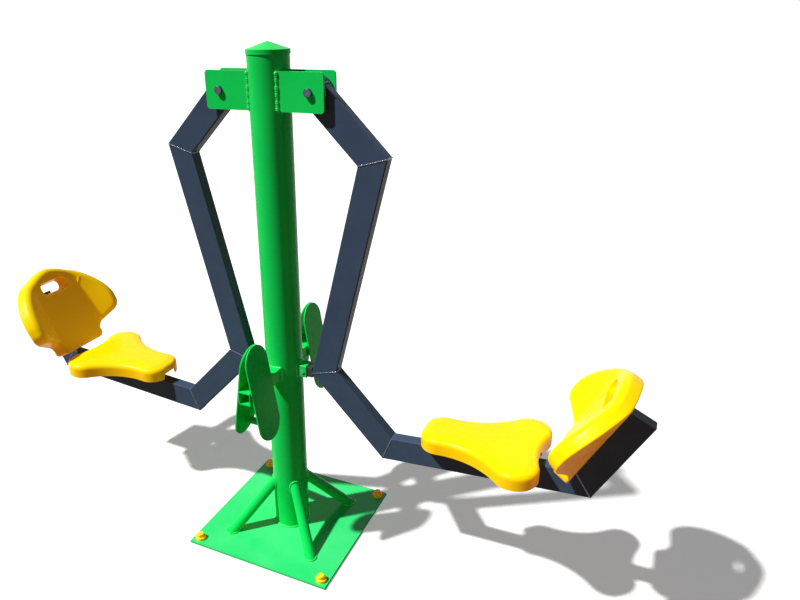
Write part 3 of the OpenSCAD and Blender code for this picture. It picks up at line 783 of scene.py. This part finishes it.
@dataclass
class MouldedSeat:
    """The saddle-shaped seat: an outline of touching arcs under a crowned top, with a skirt.

    The top is flat up to flat_at edge radii from the outline and droops by a share of one from
    there. The middle is a share of the length, and lip_flat is how full the skirt's lip is.
    """

    arm: SwingArm
    length: float = 348.0
    width: float = 312.0
    nose_w: float = 146.0
    nose_r: float = 55.0
    lobe_r: float = 62.0
    waist_r: float = 228.0
    rear_r: float = 220.0
    height: float = 49.0
    edge_r: float = 16.0
    wall: float = 5.0
    start: float = 114.0
    lift: float = 4.0
    tilt: float = 2.7
    notch_w: float = 56.0
    notch_h: float = 20.0
    notch_blend: float = 2.5
    boss_r: float = 18.0
    boss_bevel: float = 1.0
    boss_gap: float = 0.3
    boss_sink: float = 2.5
    insert_r: float = 6.5
    crown: float = 1.6
    flat_at: float = 2.1
    droop: float = 0.2
    droop_power: float = 1.8
    middle: float = 0.62
    lip_flat: float = 0.7
    crease: float = 50.0
    bolt_shares: tuple[float, float] = (0.25, 0.72)

    def outline(self, inset: float) -> Array:
        """The seat's outline, drawn in by a distance.

        Half of it is four arcs that touch: the nose corner, the drawn-in side, the lobe and the
        hollow at the rear. Drawing in shortens the outward arcs and lengthens the hollow ones.

        Args:
            inset: How far the outline is drawn in.

        Returns:
            The closed outline's points, X from the nose and Y across.
        """
        nose = np.array([self.nose_r, self.nose_w / 2 - self.nose_r])
        lobe = np.array([self.length - self.lobe_r, self.width / 2 - self.lobe_r])
        a, b = self.nose_r + self.waist_r, self.lobe_r + self.waist_r
        gap = np.linalg.norm(lobe - nose)
        toward = (lobe - nose) / gap
        x = (a * a - b * b + gap * gap) / (2 * gap)
        waist = nose + toward * x + np.array([-toward[1], toward[0]]) * math.sqrt(a * a - x * x)
        rear = np.array([lobe[0] + math.sqrt((self.lobe_r + self.rear_r) ** 2 - lobe[1] ** 2), 0.0])
        half = np.concatenate([
            arc(nose, self.nose_r - inset, 180.0, heading(waist - nose), 44),
            arc(waist, self.waist_r + inset, heading(nose - waist), heading(lobe - waist), 40)[1:],
            arc(lobe, self.lobe_r - inset, heading(waist - lobe), heading(rear - lobe), 70)[1:],
            arc(rear, self.rear_r + inset, heading(lobe - rear) % 360.0, 180.0, 26)[1:],
        ])
        front = np.linspace(-1.0, 1.0, 13)[1:-1, None] * half[:1] * np.array([[0.0, 1.0]])
        front = front + half[:1] * np.array([[1.0, 0.0]])
        return np.concatenate([half, half[-2::-1] * np.array([1.0, -1.0]), front])

    def rim(self, outline: Array) -> Array:
        """Height of the skirt's rim: 0, and raised over the bar at the nose and the rear.

        Args:
            outline: The rim's outline.

        Returns:
            The height at each of its points.
        """
        start, end = self.notch_w / 2 - self.notch_blend, self.notch_w / 2 + self.notch_blend
        over_bar = 1.0 - smooth_step(np.abs(outline[:, 1]), start, end)
        at_end = (outline[:, 0] < self.nose_r) | (outline[:, 0] > self.length - self.lobe_r)
        return self.notch_h * over_bar * at_end

    def rings(self) -> Array:
        """Rings from the middle of the top, over the edge, down the skirt and up its inside.

        The top is crowned by 1 - share^2 in its middle, droops towards the edge by a power of the
        way there, and turns down in a quarter circle. The wall's inside follows it.

        Returns:
            The rings' points in the seat's own frame.
        """
        made: list[Array] = []
        e = self.edge_r
        rim = self.rim(self.outline(0.0))

        def add(outline: Array, height: Array | float) -> None:
            """Adds a ring at a height, which may differ from point to point."""
            made.append(np.column_stack([outline, np.broadcast_to(height, len(outline))]))

        def shrunk(inset: float, share: float) -> Array:
            """The drawn-in outline scaled about a point behind the waist."""
            centre = np.array([self.length * self.middle, 0.0])
            return centre + (self.outline(inset) - centre) * share

        inner = self.flat_at * e
        for share in (0.08, 0.3, 0.5, 0.7, 0.86):
            add(shrunk(inner, share), self.height + self.crown * (1.0 - share ** 2))
        for inset in np.linspace(inner, e, 7):
            sunk = self.droop * e * ((inner - inset) / (inner - e)) ** self.droop_power
            add(self.outline(inset), self.height - sunk)
        for a in np.radians(np.linspace(7.5, 90.0, 12)):
            add(self.outline(e * (1.0 - math.sin(a))), self.height - e * (1.0 + self.droop - math.cos(a)))
        shoulder = self.height - (1.0 + self.droop) * e
        for share in (0.25, 0.5, 0.75, 0.93):
            add(self.outline(0.0), shoulder + (rim - shoulder) * share)
        lip = self.wall / 2
        for a in np.radians(np.linspace(0.0, 180.0, 7)):
            add(self.outline(lip * (1.0 - math.cos(a))), rim + lip * self.lip_flat * (1.0 - math.sin(a)))
        for share in (0.3, 0.65, 1.0):
            add(self.outline(self.wall), rim + (shoulder - rim) * share)
        for inward, drop in ((0.3, 0.5), (0.9, 0.2)):
            add(self.outline(self.wall + inward * e), self.height - self.wall - drop * e)
        add(self.outline(inner), self.height - self.wall)
        for share in (0.7, 0.4, 0.08):
            add(shrunk(inner, share), self.height - self.wall)
        return np.stack(made)

    def place(self, local: Array) -> Array:
        """Points of the seat's own frame as points of the machine's frame.

        The seat is turned by its tilt about its middle and laid on the seat bar.

        Args:
            local: The points, X from the nose, Y across and Z up.

        Returns:
            The points in the machine's frame.
        """
        tilt = math.radians(self.tilt)
        x, z = local[..., :1] - self.length / 2, local[..., 2:]
        along = x * math.cos(tilt) + z * math.sin(tilt) + self.start + self.length / 2
        above = -x * math.sin(tilt) + z * math.cos(tilt) + self.arm.width / 2 + self.lift
        return self.arm.stretches[3].place(np.concatenate([along, local[..., 1:2], above], axis=-1))

    def bosses(self) -> list[Surface]:
        """A boss round each insert, from the bar up into the seat's roof: a profile turned round.

        Returns:
            The bosses' surfaces.
        """
        turn = np.linspace(0.0, 2 * math.pi, 48, endpoint=False)
        circle = np.stack([np.cos(turn), np.sin(turn)], axis=1)
        bar = self.arm.stretches[3]
        top = self.arm.width / 2
        low, high = top + self.boss_gap, top + self.height - self.boss_sink
        profile = [
            (self.insert_r, low),
            (self.boss_r - self.boss_bevel, low),
            (self.boss_r, low + self.boss_bevel),
            (self.boss_r, high),
            (self.insert_r, high),
        ]
        made = []
        for share in self.bolt_shares:
            at = self.start + self.length * share
            rings = np.stack([np.column_stack([circle * r, np.full(len(circle), z)]) for r, z in profile])
            made.append(loft(bar.place(rings + np.array([at, 0.0, 0.0])), True))
        return made

    def build(self, side: Side) -> None:
        """Makes the seat in place of its node.

        Args:
            side: The arm that it is on.
        """
        surface = joined([loft(self.place(self.rings())), *self.bosses()]).on(side)
        seat = new_piece(f"{side.word}_seat_moulding", surface, side.body, Finish.YELLOW, self.crease)
        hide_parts(f"{side.word}_seat")


@dataclass
class MouldedBackrest:
    """The backrest: a tongue, a flat middle, two wings bent forward and a hand hole near the top.

    The fields that end in _at and _round, where they belong to the outline, and the spans of the
    opening, the soft fold and the edge are shares of the length. The neck is a share of the length
    and one of the tongue's half width. The lip's fade is measured from the hand hole's middle.
    """

    arm: SwingArm
    length: float = 308.0
    width: float = 390.0
    thickness: float = 48.0
    fold_at: float = 94.0
    fold_slope: float = 0.026
    wing_angle: float = 35.0
    top_angle: float = 25.0
    fold_r: float = 7.0
    soft_fold_r: float = 70.0
    fold_growth: float = 1.2
    tongue_w: float = 192.0
    edge_r: float = 21.0
    tongue_edge_r: float = 11.0
    start: float = 24.0
    gap: float = 12.0
    hole_w: float = 114.0
    hole_h: float = 43.0
    hole_drop: float = 47.0
    hole_r: float = 18.0
    lip_r: float = 3.0
    lip_h: float = 2.2
    lip_span: tuple[float, float] = (2.5, 9.0)
    lip_fade: tuple[float, float] = (-2.0, 20.0)
    ridge_from: tuple[float, float] = (209.0, 89.0)
    ridge_to: tuple[float, float] = (238.0, 112.0)
    ridge_h: float = 1.5
    ridge_w: float = 3.0
    rear_r: float = 5.0
    mouth_taper: tuple[float, float] = (4.5, 7.0)
    mouth_r: float = 3.0
    mouth_depth: float = 2.0
    pad_w: float = 72.0
    pad_h: float = 28.0
    pad_round: float = 0.42
    neck: tuple[float, float] = (0.15, 0.96)
    corner_at: float = 0.25
    arch_at: float = 0.405
    arch_power: float = 1.65
    foot_round: float = 0.055
    neck_round: float = 0.09
    corner_round: float = 0.13
    opening_span: tuple[float, float] = (0.3, 0.9)
    soft_span: tuple[float, float] = (0.66, 0.82)
    edge_span: tuple[float, float] = (0.06, 0.26)
    crease: float = 50.0
    bolt_shares: tuple[float, float] = (0.17, 0.47)
    points: int = 440

    @property
    def hole_x(self) -> float:
        """Height of the hand hole's centre."""
        return self.length - self.hole_drop - self.hole_h / 2

    @staticmethod
    def fillet(before: Array, corner: Array, after: Array, radius: float, count: int) -> Array:
        """The arc that rounds a corner between two straight edges.

        Args:
            before: A point on the edge that comes in.
            corner: The corner.
            after: A point on the edge that goes out.
            radius: The arc's radius.
            count: How many points it has.

        Returns:
            The arc's points.
        """
        a, b = unit(before - corner), unit(after - corner)
        half = math.acos(float(a @ b)) / 2
        centre = corner + unit(a + b) * radius / math.sin(half)
        reach = radius / math.tan(half)
        first = heading(corner + a * reach - centre)
        turn = (heading(corner + b * reach - centre) - first + 540.0) % 360.0 - 180.0
        return arc(centre, radius, first, first + turn, count)

    def outline(self) -> Array:
        """The outer outline: tongue, drawn-in side, wing corner and an arch.

        The arch is a superellipse, x = rise sin(a)^(2/p) and y = half cos(a)^(2/p).

        Returns:
            Evenly spaced points, X up the backrest and Y across.
        """
        half, tongue, tall = self.width / 2, self.tongue_w / 2, self.length
        foot, side = np.array([0.0, tongue]), np.array([tall * self.neck[0], tongue * self.neck[1]])
        corner, arch = np.array([tall * self.corner_at, half]), np.array([tall * self.arch_at, half])
        a = np.radians(np.linspace(0.0, 90.0, 60))
        power = 2.0 / self.arch_power
        crest = np.stack([arch[0] + (tall - arch[0]) * np.sin(a) ** power,
                          half * np.clip(np.cos(a), 0.0, 1.0) ** power], axis=1)
        right = np.concatenate([
            self.fillet(np.zeros(2), foot, side, tall * self.foot_round, 14),
            self.fillet(foot, side, corner, tall * self.neck_round, 16),
            self.fillet(side, corner, arch, tall * self.corner_round, 20),
            crest,
        ])
        return even_loop(np.concatenate([right, right[-2::-1] * np.array([1.0, -1.0])]), self.points)

    def hole(self, outer: Array) -> Array:
        """The hand hole's outline, one point towards each point of the outer outline.

        Args:
            outer: The outer outline.

        Returns:
            The points of the hole's edge on the rays from its centre to the outer points.
        """
        centre = np.array([self.hole_x, 0.0])
        edge = even_loop(rounded_rectangle(self.hole_h, self.hole_w, self.hole_r, 16), 720)
        angle = np.arctan2(edge[:, 1], edge[:, 0])
        order = np.argsort(angle)
        ray = outer - centre
        reach = np.interp(np.arctan2(ray[:, 1], ray[:, 0]), angle[order],
                          np.linalg.norm(edge, axis=1)[order], period=2 * math.pi)
        return centre + unit(ray) * reach[:, None]

    def bent(self, flat: Array, depth: Array) -> Array:
        """Bends the flat pattern into panel and wings, and sinks it square to the surface.

        Up to the fold y stays; along the fold it runs on a circle of radius r; past it, it goes
        straight at the wing's angle, which is less at the top. The fold is crisp on the front low
        down, soft beside the hand hole, and softer the deeper a point lies.

        Args:
            flat: Points of the pattern, X up and Y across.
            depth: How far each point lies below the front surface.

        Returns:
            Points of the backrest's own frame.
        """
        t = np.abs(flat[:, 1])
        opened = smooth_step(flat[:, 0], *(self.length * share for share in self.opening_span))
        angle = np.radians(self.wing_angle + (self.top_angle - self.wing_angle) * opened)
        fold = self.fold_at - self.fold_slope * flat[:, 0]
        soft = smooth_step(flat[:, 0], *(self.length * share for share in self.soft_span))
        crisp = self.fold_r + self.fold_growth * np.clip(depth, 0.0, None)
        r = crisp + (self.soft_fold_r - np.minimum(crisp, self.soft_fold_r)) * soft
        first, last = fold - r * angle / 2, fold + r * angle / 2
        a = np.clip((t - first) / r, 0.0, angle)
        beyond = np.maximum(t - last, 0.0)
        across = np.minimum(t, first) + r * np.sin(a) + beyond * np.cos(angle) + depth * np.sin(a)
        rise = r * (1.0 - np.cos(a)) + beyond * np.sin(angle)
        return np.stack([flat[:, 0], np.sign(flat[:, 1]) * across,
                         self.thickness + rise - depth * np.cos(a)], axis=1)

    def relief(self, flat: Array, from_hole: Array) -> Array:
        """How far the front surface stands above its plain form.

        A rolled lip runs under the hand hole and round its ends. A short ridge runs from the upper
        end of each fold out towards the wing.

        Args:
            flat: Points of the pattern.
            from_hole: Each point's distance from the hole's edge.

        Returns:
            The height at each point.
        """
        first, last = np.array(self.ridge_from), np.array(self.ridge_to)
        run = (last - first) / np.linalg.norm(last - first)
        offset = np.abs(flat) - first
        share = np.clip(offset @ run, 0.0, float(np.linalg.norm(last - first)))
        away = np.linalg.norm(offset - share[:, None] * run, axis=1)
        low = 1.0 - smooth_step(flat[:, 0], *(self.hole_x + shift for shift in self.lip_fade))
        ridge = self.ridge_h * np.exp(-(away / self.ridge_w) ** 2)
        return ridge + self.lip_h * low * (1.0 - smooth_step(from_hole, *self.lip_span))

    def rings(self) -> Array:
        """Rings from the hole's front lip over the front, the edge and the rear, back to the hole.

        The outer edge is drawn in square to the outline, by a radius that grows from the tongue to
        the wings. Between it and the hole, points lie on straight lines.

        Returns:
            The rings' points in the backrest's own frame.
        """
        outer = self.outline()
        hole = self.hole(outer)
        along = unit(np.roll(outer, -1, axis=0) - np.roll(outer, 1, axis=0))
        inward = np.stack([-along[:, 1], along[:, 0]], axis=1)
        inward = inward * np.sign(np.einsum("ij,ij->i", inward, hole - outer))[:, None]
        ray = unit(outer - hole)
        grown = smooth_step(outer[:, 0], *(self.length * share for share in self.edge_span))
        edge = self.tongue_edge_r + (self.edge_r - self.tongue_edge_r) * grown
        made: list[Array] = []

        def add(flat: Array, depth: Array | float) -> None:
            """Adds a ring of the flat pattern at a depth."""
            made.append(self.bent(flat, np.broadcast_to(depth, len(flat))))

        def add_front(flat: Array, depth: float) -> None:
            """Adds a ring of the front, with its relief."""
            made.append(self.bent(flat, depth - self.relief(flat, np.linalg.norm(flat - hole, axis=1))))

        def drawn_in(reach: Array) -> Array:
            """The outer outline drawn in square to itself."""
            return outer + inward * reach[:, None]

        for a in np.radians(np.linspace(0.0, 90.0, 7)):
            add_front(hole + ray * self.lip_r * (1.0 - math.cos(a)), self.lip_r * (1.0 - math.sin(a)))
        lip, shoulder = hole + ray * self.lip_r, drawn_in(edge)
        for share in np.linspace(0.0, 1.0, 56)[1:] ** 1.3:
            add_front(lip + (shoulder - lip) * share, 0.0)
        for a in np.radians(np.linspace(8.0, 90.0, 13)):
            add(drawn_in(edge * (1.0 - math.sin(a))), edge * (1.0 - math.cos(a)))
        rear_r = np.full(len(outer), self.rear_r)
        for share in (0.35, 0.7, 1.0):
            add(outer, edge + (self.thickness - rear_r - edge) * share)
        for a in np.radians(np.linspace(15.0, 90.0, 6)):
            add(drawn_in(rear_r * (1.0 - math.cos(a))), self.thickness - rear_r * (1.0 - math.sin(a)))
        centre = np.array([self.hole_x, 0.0])
        half = np.array([self.hole_h, self.hole_w]) / 2
        narrow = centre + (hole - centre) * (half - np.array(self.mouth_taper)) / half
        back, mouth = drawn_in(rear_r), narrow + ray * self.mouth_r
        for share in np.linspace(1.0, 0.0, 16)[1:]:
            add(mouth + (back - mouth) * share, self.thickness)
        low, high = self.thickness - self.mouth_depth, self.lip_r
        for share in np.linspace(0.0, 0.9, 8):
            add(narrow + (hole - narrow) * share, low + (high - low) * share)
        return np.stack(made)

    def place(self, local: Array) -> Array:
        """Points of the backrest's own frame as points of the machine's frame."""
        shift = np.array([self.start, 0.0, self.arm.width / 2 + self.gap])
        return self.arm.stretches[4].place(local + shift)

    def pads(self) -> list[Surface]:
        """A rounded pad round each insert, between the bar and the backrest's rear face.

        Each is a stack of its outline, grown or shrunk by a factor, at heights over the rear face.

        Returns:
            The pads' surfaces.
        """
        outline = even_loop(rounded_rectangle(self.pad_h, self.pad_w, self.pad_h * self.pad_round, 12), 96)
        made = []
        for share in self.bolt_shares:
            at = np.array([self.length * share, 0.0, 0.0])
            rings = [(0.93, 0.3 - self.gap), (1.0, 1.8 - self.gap), (1.0, -2.0), (1.06, 1.0)]
            stack = np.stack([np.column_stack([outline * s, np.full(len(outline), z)]) for s, z in rings])
            made.append(loft(self.place(stack + at)))
        return made

    def build(self, side: Side) -> None:
        """Makes the backrest in place of its node.

        Args:
            side: The arm that it is on.
        """
        surface = joined([loft(self.place(self.rings()), True), *self.pads()]).on(side)
        name = f"{side.word}_backrest_moulding"
        backrest = new_piece(name, surface, side.body, Finish.YELLOW, self.crease)
        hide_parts(f"{side.word}_backrest")


@dataclass
class PostAndPlate:
    """The standing frame's sizes, and its welds.

    A field that ends in _stand says how far a bead's middle stands out from what it is on.
    """

    post_r: float = 57.15
    plate_t: float = 8.0
    bar_z: float = 599.0
    bar_w: float = 40.0
    bar_r: float = 3.0
    stop_z: float = 601.28
    hanger_in: float = 32.0
    hanger_out: float = 38.0
    hanger_h: float = 100.0
    pivot_z: float = 1418.0
    strut_r: float = 16.85
    strut_foot: float = 147.0
    strut_top: float = 168.0
    foot_stand: float = 1.0
    strut_stand: float = 0.8
    post_stand: float = 0.6
    hanger_stand: float = 0.8
    hanger_over: float = 1.0
    bar_grow: float = 1.0
    foot_points: int = 420
    strut_points: int = 180
    bar_points: int = 260

    def post_foot(self) -> Surface:
        """The weld ring round the post's foot.

        Returns:
            The bead, a circle just outside the post and just above the plate.
        """
        turn = np.linspace(0.0, 2 * math.pi, self.foot_points, endpoint=False)
        radius = self.post_r + self.foot_stand
        height = np.full(len(turn), self.plate_t + self.foot_stand)
        path = np.stack([np.cos(turn) * radius, np.sin(turn) * radius, height], axis=1)
        return Weld(radius=3.6).bead(path, UP, True)

    def strut_line(self, quarter: int) -> tuple[Array, Array]:
        """A strut's foot on the plate and its direction up to the post.

        Args:
            quarter: 0 to 3, the strut's place round the post.

        Returns:
            The foot and the unit direction.
        """
        a = math.radians(45.0 + 90.0 * quarter)
        run = self.strut_foot * math.sqrt(2.0)
        foot = np.array([math.cos(a) * run, math.sin(a) * run, self.plate_t])
        lean = np.array([-math.cos(a) * (run - self.post_r), -math.sin(a) * (run - self.post_r),
                         self.strut_top - self.plate_t])
        return foot, unit(lean)

    def strut_welds(self, quarter: int) -> list[Surface]:
        """The welds at a strut's two ends.

        Lines along the tube's wall, foot + r (cos p e1 + sin p e2) + t d, are cut with the plate,
        z = plate_t, and with the post, x^2 + y^2 = R^2.

        Args:
            quarter: 0 to 3, the strut's place round the post.

        Returns:
            The two beads.
        """
        foot, d = self.strut_line(quarter)
        e1 = unit(np.cross(d, UP))
        e2 = np.cross(d, e1)
        turn = np.linspace(0.0, 2 * math.pi, self.strut_points, endpoint=False)[:, None]
        wall = foot + (self.strut_r + self.strut_stand) * (np.cos(turn) * e1 + np.sin(turn) * e2)
        low = wall + (self.plate_t + self.strut_stand - wall[:, 2:]) / d[2] * d
        a = d[0] ** 2 + d[1] ** 2
        b = wall[:, 0] * d[0] + wall[:, 1] * d[1]
        c = wall[:, 0] ** 2 + wall[:, 1] ** 2 - (self.post_r + self.post_stand) ** 2
        t = (-b - np.sqrt(np.maximum(b * b - a * c, 0.0))) / a
        high = wall + t[:, None] * d
        weld = Weld(radius=3.0)
        return [weld.bead(low, UP, True), weld.bead(high, d, True)]

    def hanger_welds(self) -> list[Surface]:
        """Beads down the post on both faces of each hanger plate, thick and uneven outside.

        Returns:
            The beads.
        """
        thick = Weld(radius=4.6, pitch=6.0, ripple=0.2, sway=0.28)
        thin = Weld(radius=3.0, pitch=5.0)
        low = self.pivot_z - self.hanger_h / 2 - self.hanger_over
        high = self.pivot_z + self.hanger_h / 2 + self.hanger_over
        made = []
        for sx in (-1, 1):
            for sy in (-1, 1):
                for y, weld in ((self.hanger_out, thick), (self.hanger_in, thin)):
                    x = math.sqrt(self.post_r ** 2 - y ** 2) + self.hanger_stand
                    made.append(weld.along((sx * x, sy * y, low), (sx * x, sy * y, high), (0.0, sy, 0.0)))
        return made

    def tube_welds(self, height: float, out: Array, side: Array) -> list[Surface]:
        """Beads round a square tube where it leaves the post: out = sqrt(R^2 - side^2), both ways.

        Args:
            height: Height of the tube's middle.
            out: The direction in which the tube leaves the post.
            side: The level direction square to it.

        Returns:
            The two beads.
        """
        width = self.bar_w + self.bar_grow
        outline = even_loop(rounded_rectangle(width, width, self.bar_r), self.bar_points)
        reach = np.sqrt(self.post_r ** 2 - outline[:, :1] ** 2) + self.post_stand
        middle = outline[:, :1] * side + (height + outline[:, 1:]) * UP
        return [Weld(radius=2.6).bead(middle + sign * reach * out, out, True) for sign in (-1, 1)]

    def build(self) -> None:
        """Makes the welds of the stand, a piece for each kind."""
        pieces = {
            "post_foot_weld": [self.post_foot()],
            "strut_welds": [bead for quarter in range(4) for bead in self.strut_welds(quarter)],
            "hanger_welds": self.hanger_welds(),
            "bar_welds": self.tube_welds(self.bar_z, ACROSS, OUT),
            "bracket_welds": self.tube_welds(self.stop_z, OUT, ACROSS),
        }
        for name, beads in pieces.items():
            new_piece(name, joined(beads), "stand", Finish.GREEN, bead=True)


@dataclass(frozen=True)
class Studio:
    """Camera, lamps, floor and background."""

    position: tuple[float, float, float] = (0.9932, -1.6415, 1.59785)
    yaw: float = -25.90
    pitch: float = -24.165
    roll: float = -0.918
    lens: float = 30.96
    sensor: float = 36.0
    clip_end: float = 500.0
    shift: tuple[float, float] = (0.0745, 0.0285)
    sun_from: tuple[float, float, float] = (-0.462, -0.401, 0.791)
    sun_strength: float = 4.5
    sun_angle: float = 2.0
    sun_tint: tuple[float, float, float] = (1.0, 0.985, 0.96)
    sky: float = 0.08
    sky_tint: tuple[float, float, float] = (0.96, 1.0, 1.06)
    floor_seen: float = 0.94
    floor_bounce: tuple[float, float, float] = (0.28, 0.10, 0.05)
    floor_glow: float = 0.25
    floor_half: float = 60.0

    def camera(self) -> None:
        """Sets up the camera from its place, its angles and its lens.

        The view direction is (sin yaw cos pitch, cos yaw cos pitch, sin pitch), and the roll turns
        the picture's right and up directions about it.
        """
        yaw, pitch, roll = (math.radians(v) for v in (self.yaw, self.pitch, self.roll))
        level = math.cos(pitch)
        look = np.array([math.sin(yaw) * level, math.cos(yaw) * level, math.sin(pitch)])
        side = np.array([math.cos(yaw), -math.sin(yaw), 0.0])
        head = np.cross(side, look)
        right = side * math.cos(roll) + head * math.sin(roll)
        up = head * math.cos(roll) - side * math.sin(roll)
        data = bpy.data.cameras.new("camera")
        data.sensor_width = self.sensor
        data.lens = self.lens
        data.shift_x, data.shift_y = self.shift
        data.clip_end = self.clip_end
        camera = bpy.data.objects.new("camera", data)
        bpy.context.scene.collection.objects.link(camera)
        turn = Matrix([(right[k], up[k], -look[k]) for k in range(3)]).to_4x4()
        camera.matrix_world = Matrix.Translation(self.position) @ turn
        bpy.context.scene.camera = camera

    def lamps(self) -> None:
        """A sun from the left and a little in front, as wide as a softbox far away."""
        data = bpy.data.lights.new("key", "SUN")
        data.energy = self.sun_strength
        data.angle = math.radians(self.sun_angle)
        data.color = self.sun_tint
        lamp = bpy.data.objects.new("key", data)
        bpy.context.scene.collection.objects.link(lamp)
        z = unit(np.array(self.sun_from))
        x = unit(np.cross(UP, z))
        y = np.cross(z, x)
        lamp.matrix_world = Matrix([(x[k], y[k], z[k]) for k in range(3)]).to_4x4()

    @staticmethod
    def seen_rays(nodes: bpy.types.Nodes, links: bpy.types.NodeLinks,
                  path: bpy.types.Node) -> bpy.types.NodeSocket:
        """A value of 1 for what the camera sees, straight on, in a gloss or through glass.

        Args:
            nodes: The nodes to add to.
            links: Their links.
            path: The Light Path node.

        Returns:
            The socket of the greatest of the three ray values.
        """
        value = path.outputs["Is Camera Ray"]
        for name in ("Is Glossy Ray", "Is Transmission Ray"):
            node = nodes.new("ShaderNodeMath")
            node.operation = "MAXIMUM"
            links.new(value, node.inputs[0])
            links.new(path.outputs[name], node.inputs[1])
            value = node.outputs[0]
        return value

    def background(self) -> None:
        """A sky of even light that the camera sees as white, in a gloss too."""
        world = bpy.data.worlds.new("sky")
        world.use_nodes = True
        world.cycles.sampling_method = "NONE"
        nodes, links = world.node_tree.nodes, world.node_tree.links
        shade = nodes["Background"]
        path = nodes.new("ShaderNodeLightPath")
        colour = nodes.new("ShaderNodeMix")
        colour.data_type = "RGBA"
        links.new(self.seen_rays(nodes, links, path), colour.inputs["Factor"])
        colour.inputs["A"].default_value = (*(self.sky * part for part in self.sky_tint), 1.0)
        colour.inputs["B"].default_value = (1.0, 1.0, 1.0, 1.0)
        links.new(colour.outputs["Result"], shade.inputs["Color"])
        bpy.context.scene.world = world

    def floor_material(self) -> bpy.types.Material:
        """Pale to the camera, in a gloss too, and darker and warmer to the light that it throws back.

        A faint glow, for the camera alone, keeps the shadow grey.

        Returns:
            The floor's material.
        """
        material = bpy.data.materials.new("floor")
        material.use_nodes = True
        material.cycles.emission_sampling = "NONE"
        nodes, links = material.node_tree.nodes, material.node_tree.links
        nodes.remove(nodes["Principled BSDF"])
        path = nodes.new("ShaderNodeLightPath")
        mix = nodes.new("ShaderNodeMixShader")
        links.new(self.seen_rays(nodes, links, path), mix.inputs["Fac"])
        for slot, colour in ((1, self.floor_bounce), (2, (self.floor_seen,) * 3)):
            diffuse = nodes.new("ShaderNodeBsdfDiffuse")
            diffuse.inputs["Color"].default_value = (*colour, 1.0)
            links.new(diffuse.outputs[0], mix.inputs[slot])
        glow = nodes.new("ShaderNodeEmission")
        faint = nodes.new("ShaderNodeMath")
        faint.operation = "MULTIPLY"
        faint.inputs[1].default_value = self.floor_glow
        links.new(path.outputs["Is Camera Ray"], faint.inputs[0])
        links.new(faint.outputs[0], glow.inputs["Strength"])
        total = nodes.new("ShaderNodeAddShader")
        links.new(mix.outputs[0], total.inputs[0])
        links.new(glow.outputs[0], total.inputs[1])
        links.new(total.outputs[0], nodes["Material Output"].inputs["Surface"])
        return material

    def floor(self) -> None:
        """A pale floor that takes the machine's shadow."""
        half = self.floor_half
        mesh = bpy.data.meshes.new("floor")
        mesh.from_pydata([(-half, -half, 0.0), (half, -half, 0.0), (half, half, 0.0), (-half, half, 0.0)],
                         [], [(0, 1, 2, 3)])
        floor = bpy.data.objects.new("floor", mesh)
        bpy.context.scene.collection.objects.link(floor)
        mesh.materials.append(self.floor_material())
        floor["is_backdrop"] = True

    def build(self) -> None:
        """Sets everything up."""
        self.camera()
        self.lamps()
        self.background()
        self.floor()
        bpy.context.scene.view_settings.view_transform = "Standard"


def corners(bounds: tuple) -> list[list[float]]:
    """A pair of corners as plain lists of numbers."""
    return [[float(v) for v in corner] for corner in bounds]


def main() -> None:
    """Loads the frame, dresses it and sets up the studio."""
    logging.basicConfig(level=logging.INFO, format="%(name)s: %(message)s")
    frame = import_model()
    frame_box = corners(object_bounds())
    Studio().build()
    Paintbox.dress_nodes(frame)
    arm = SwingArm()
    for side in Side:
        MouldedSeat(arm).build(side)
        MouldedBackrest(arm).build(side)
        arm.build_welds(side)
    PostAndPlate().build()
    {"cad": frame_box, "visual": corners(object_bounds())}


if __name__ == "__main__":
    main()
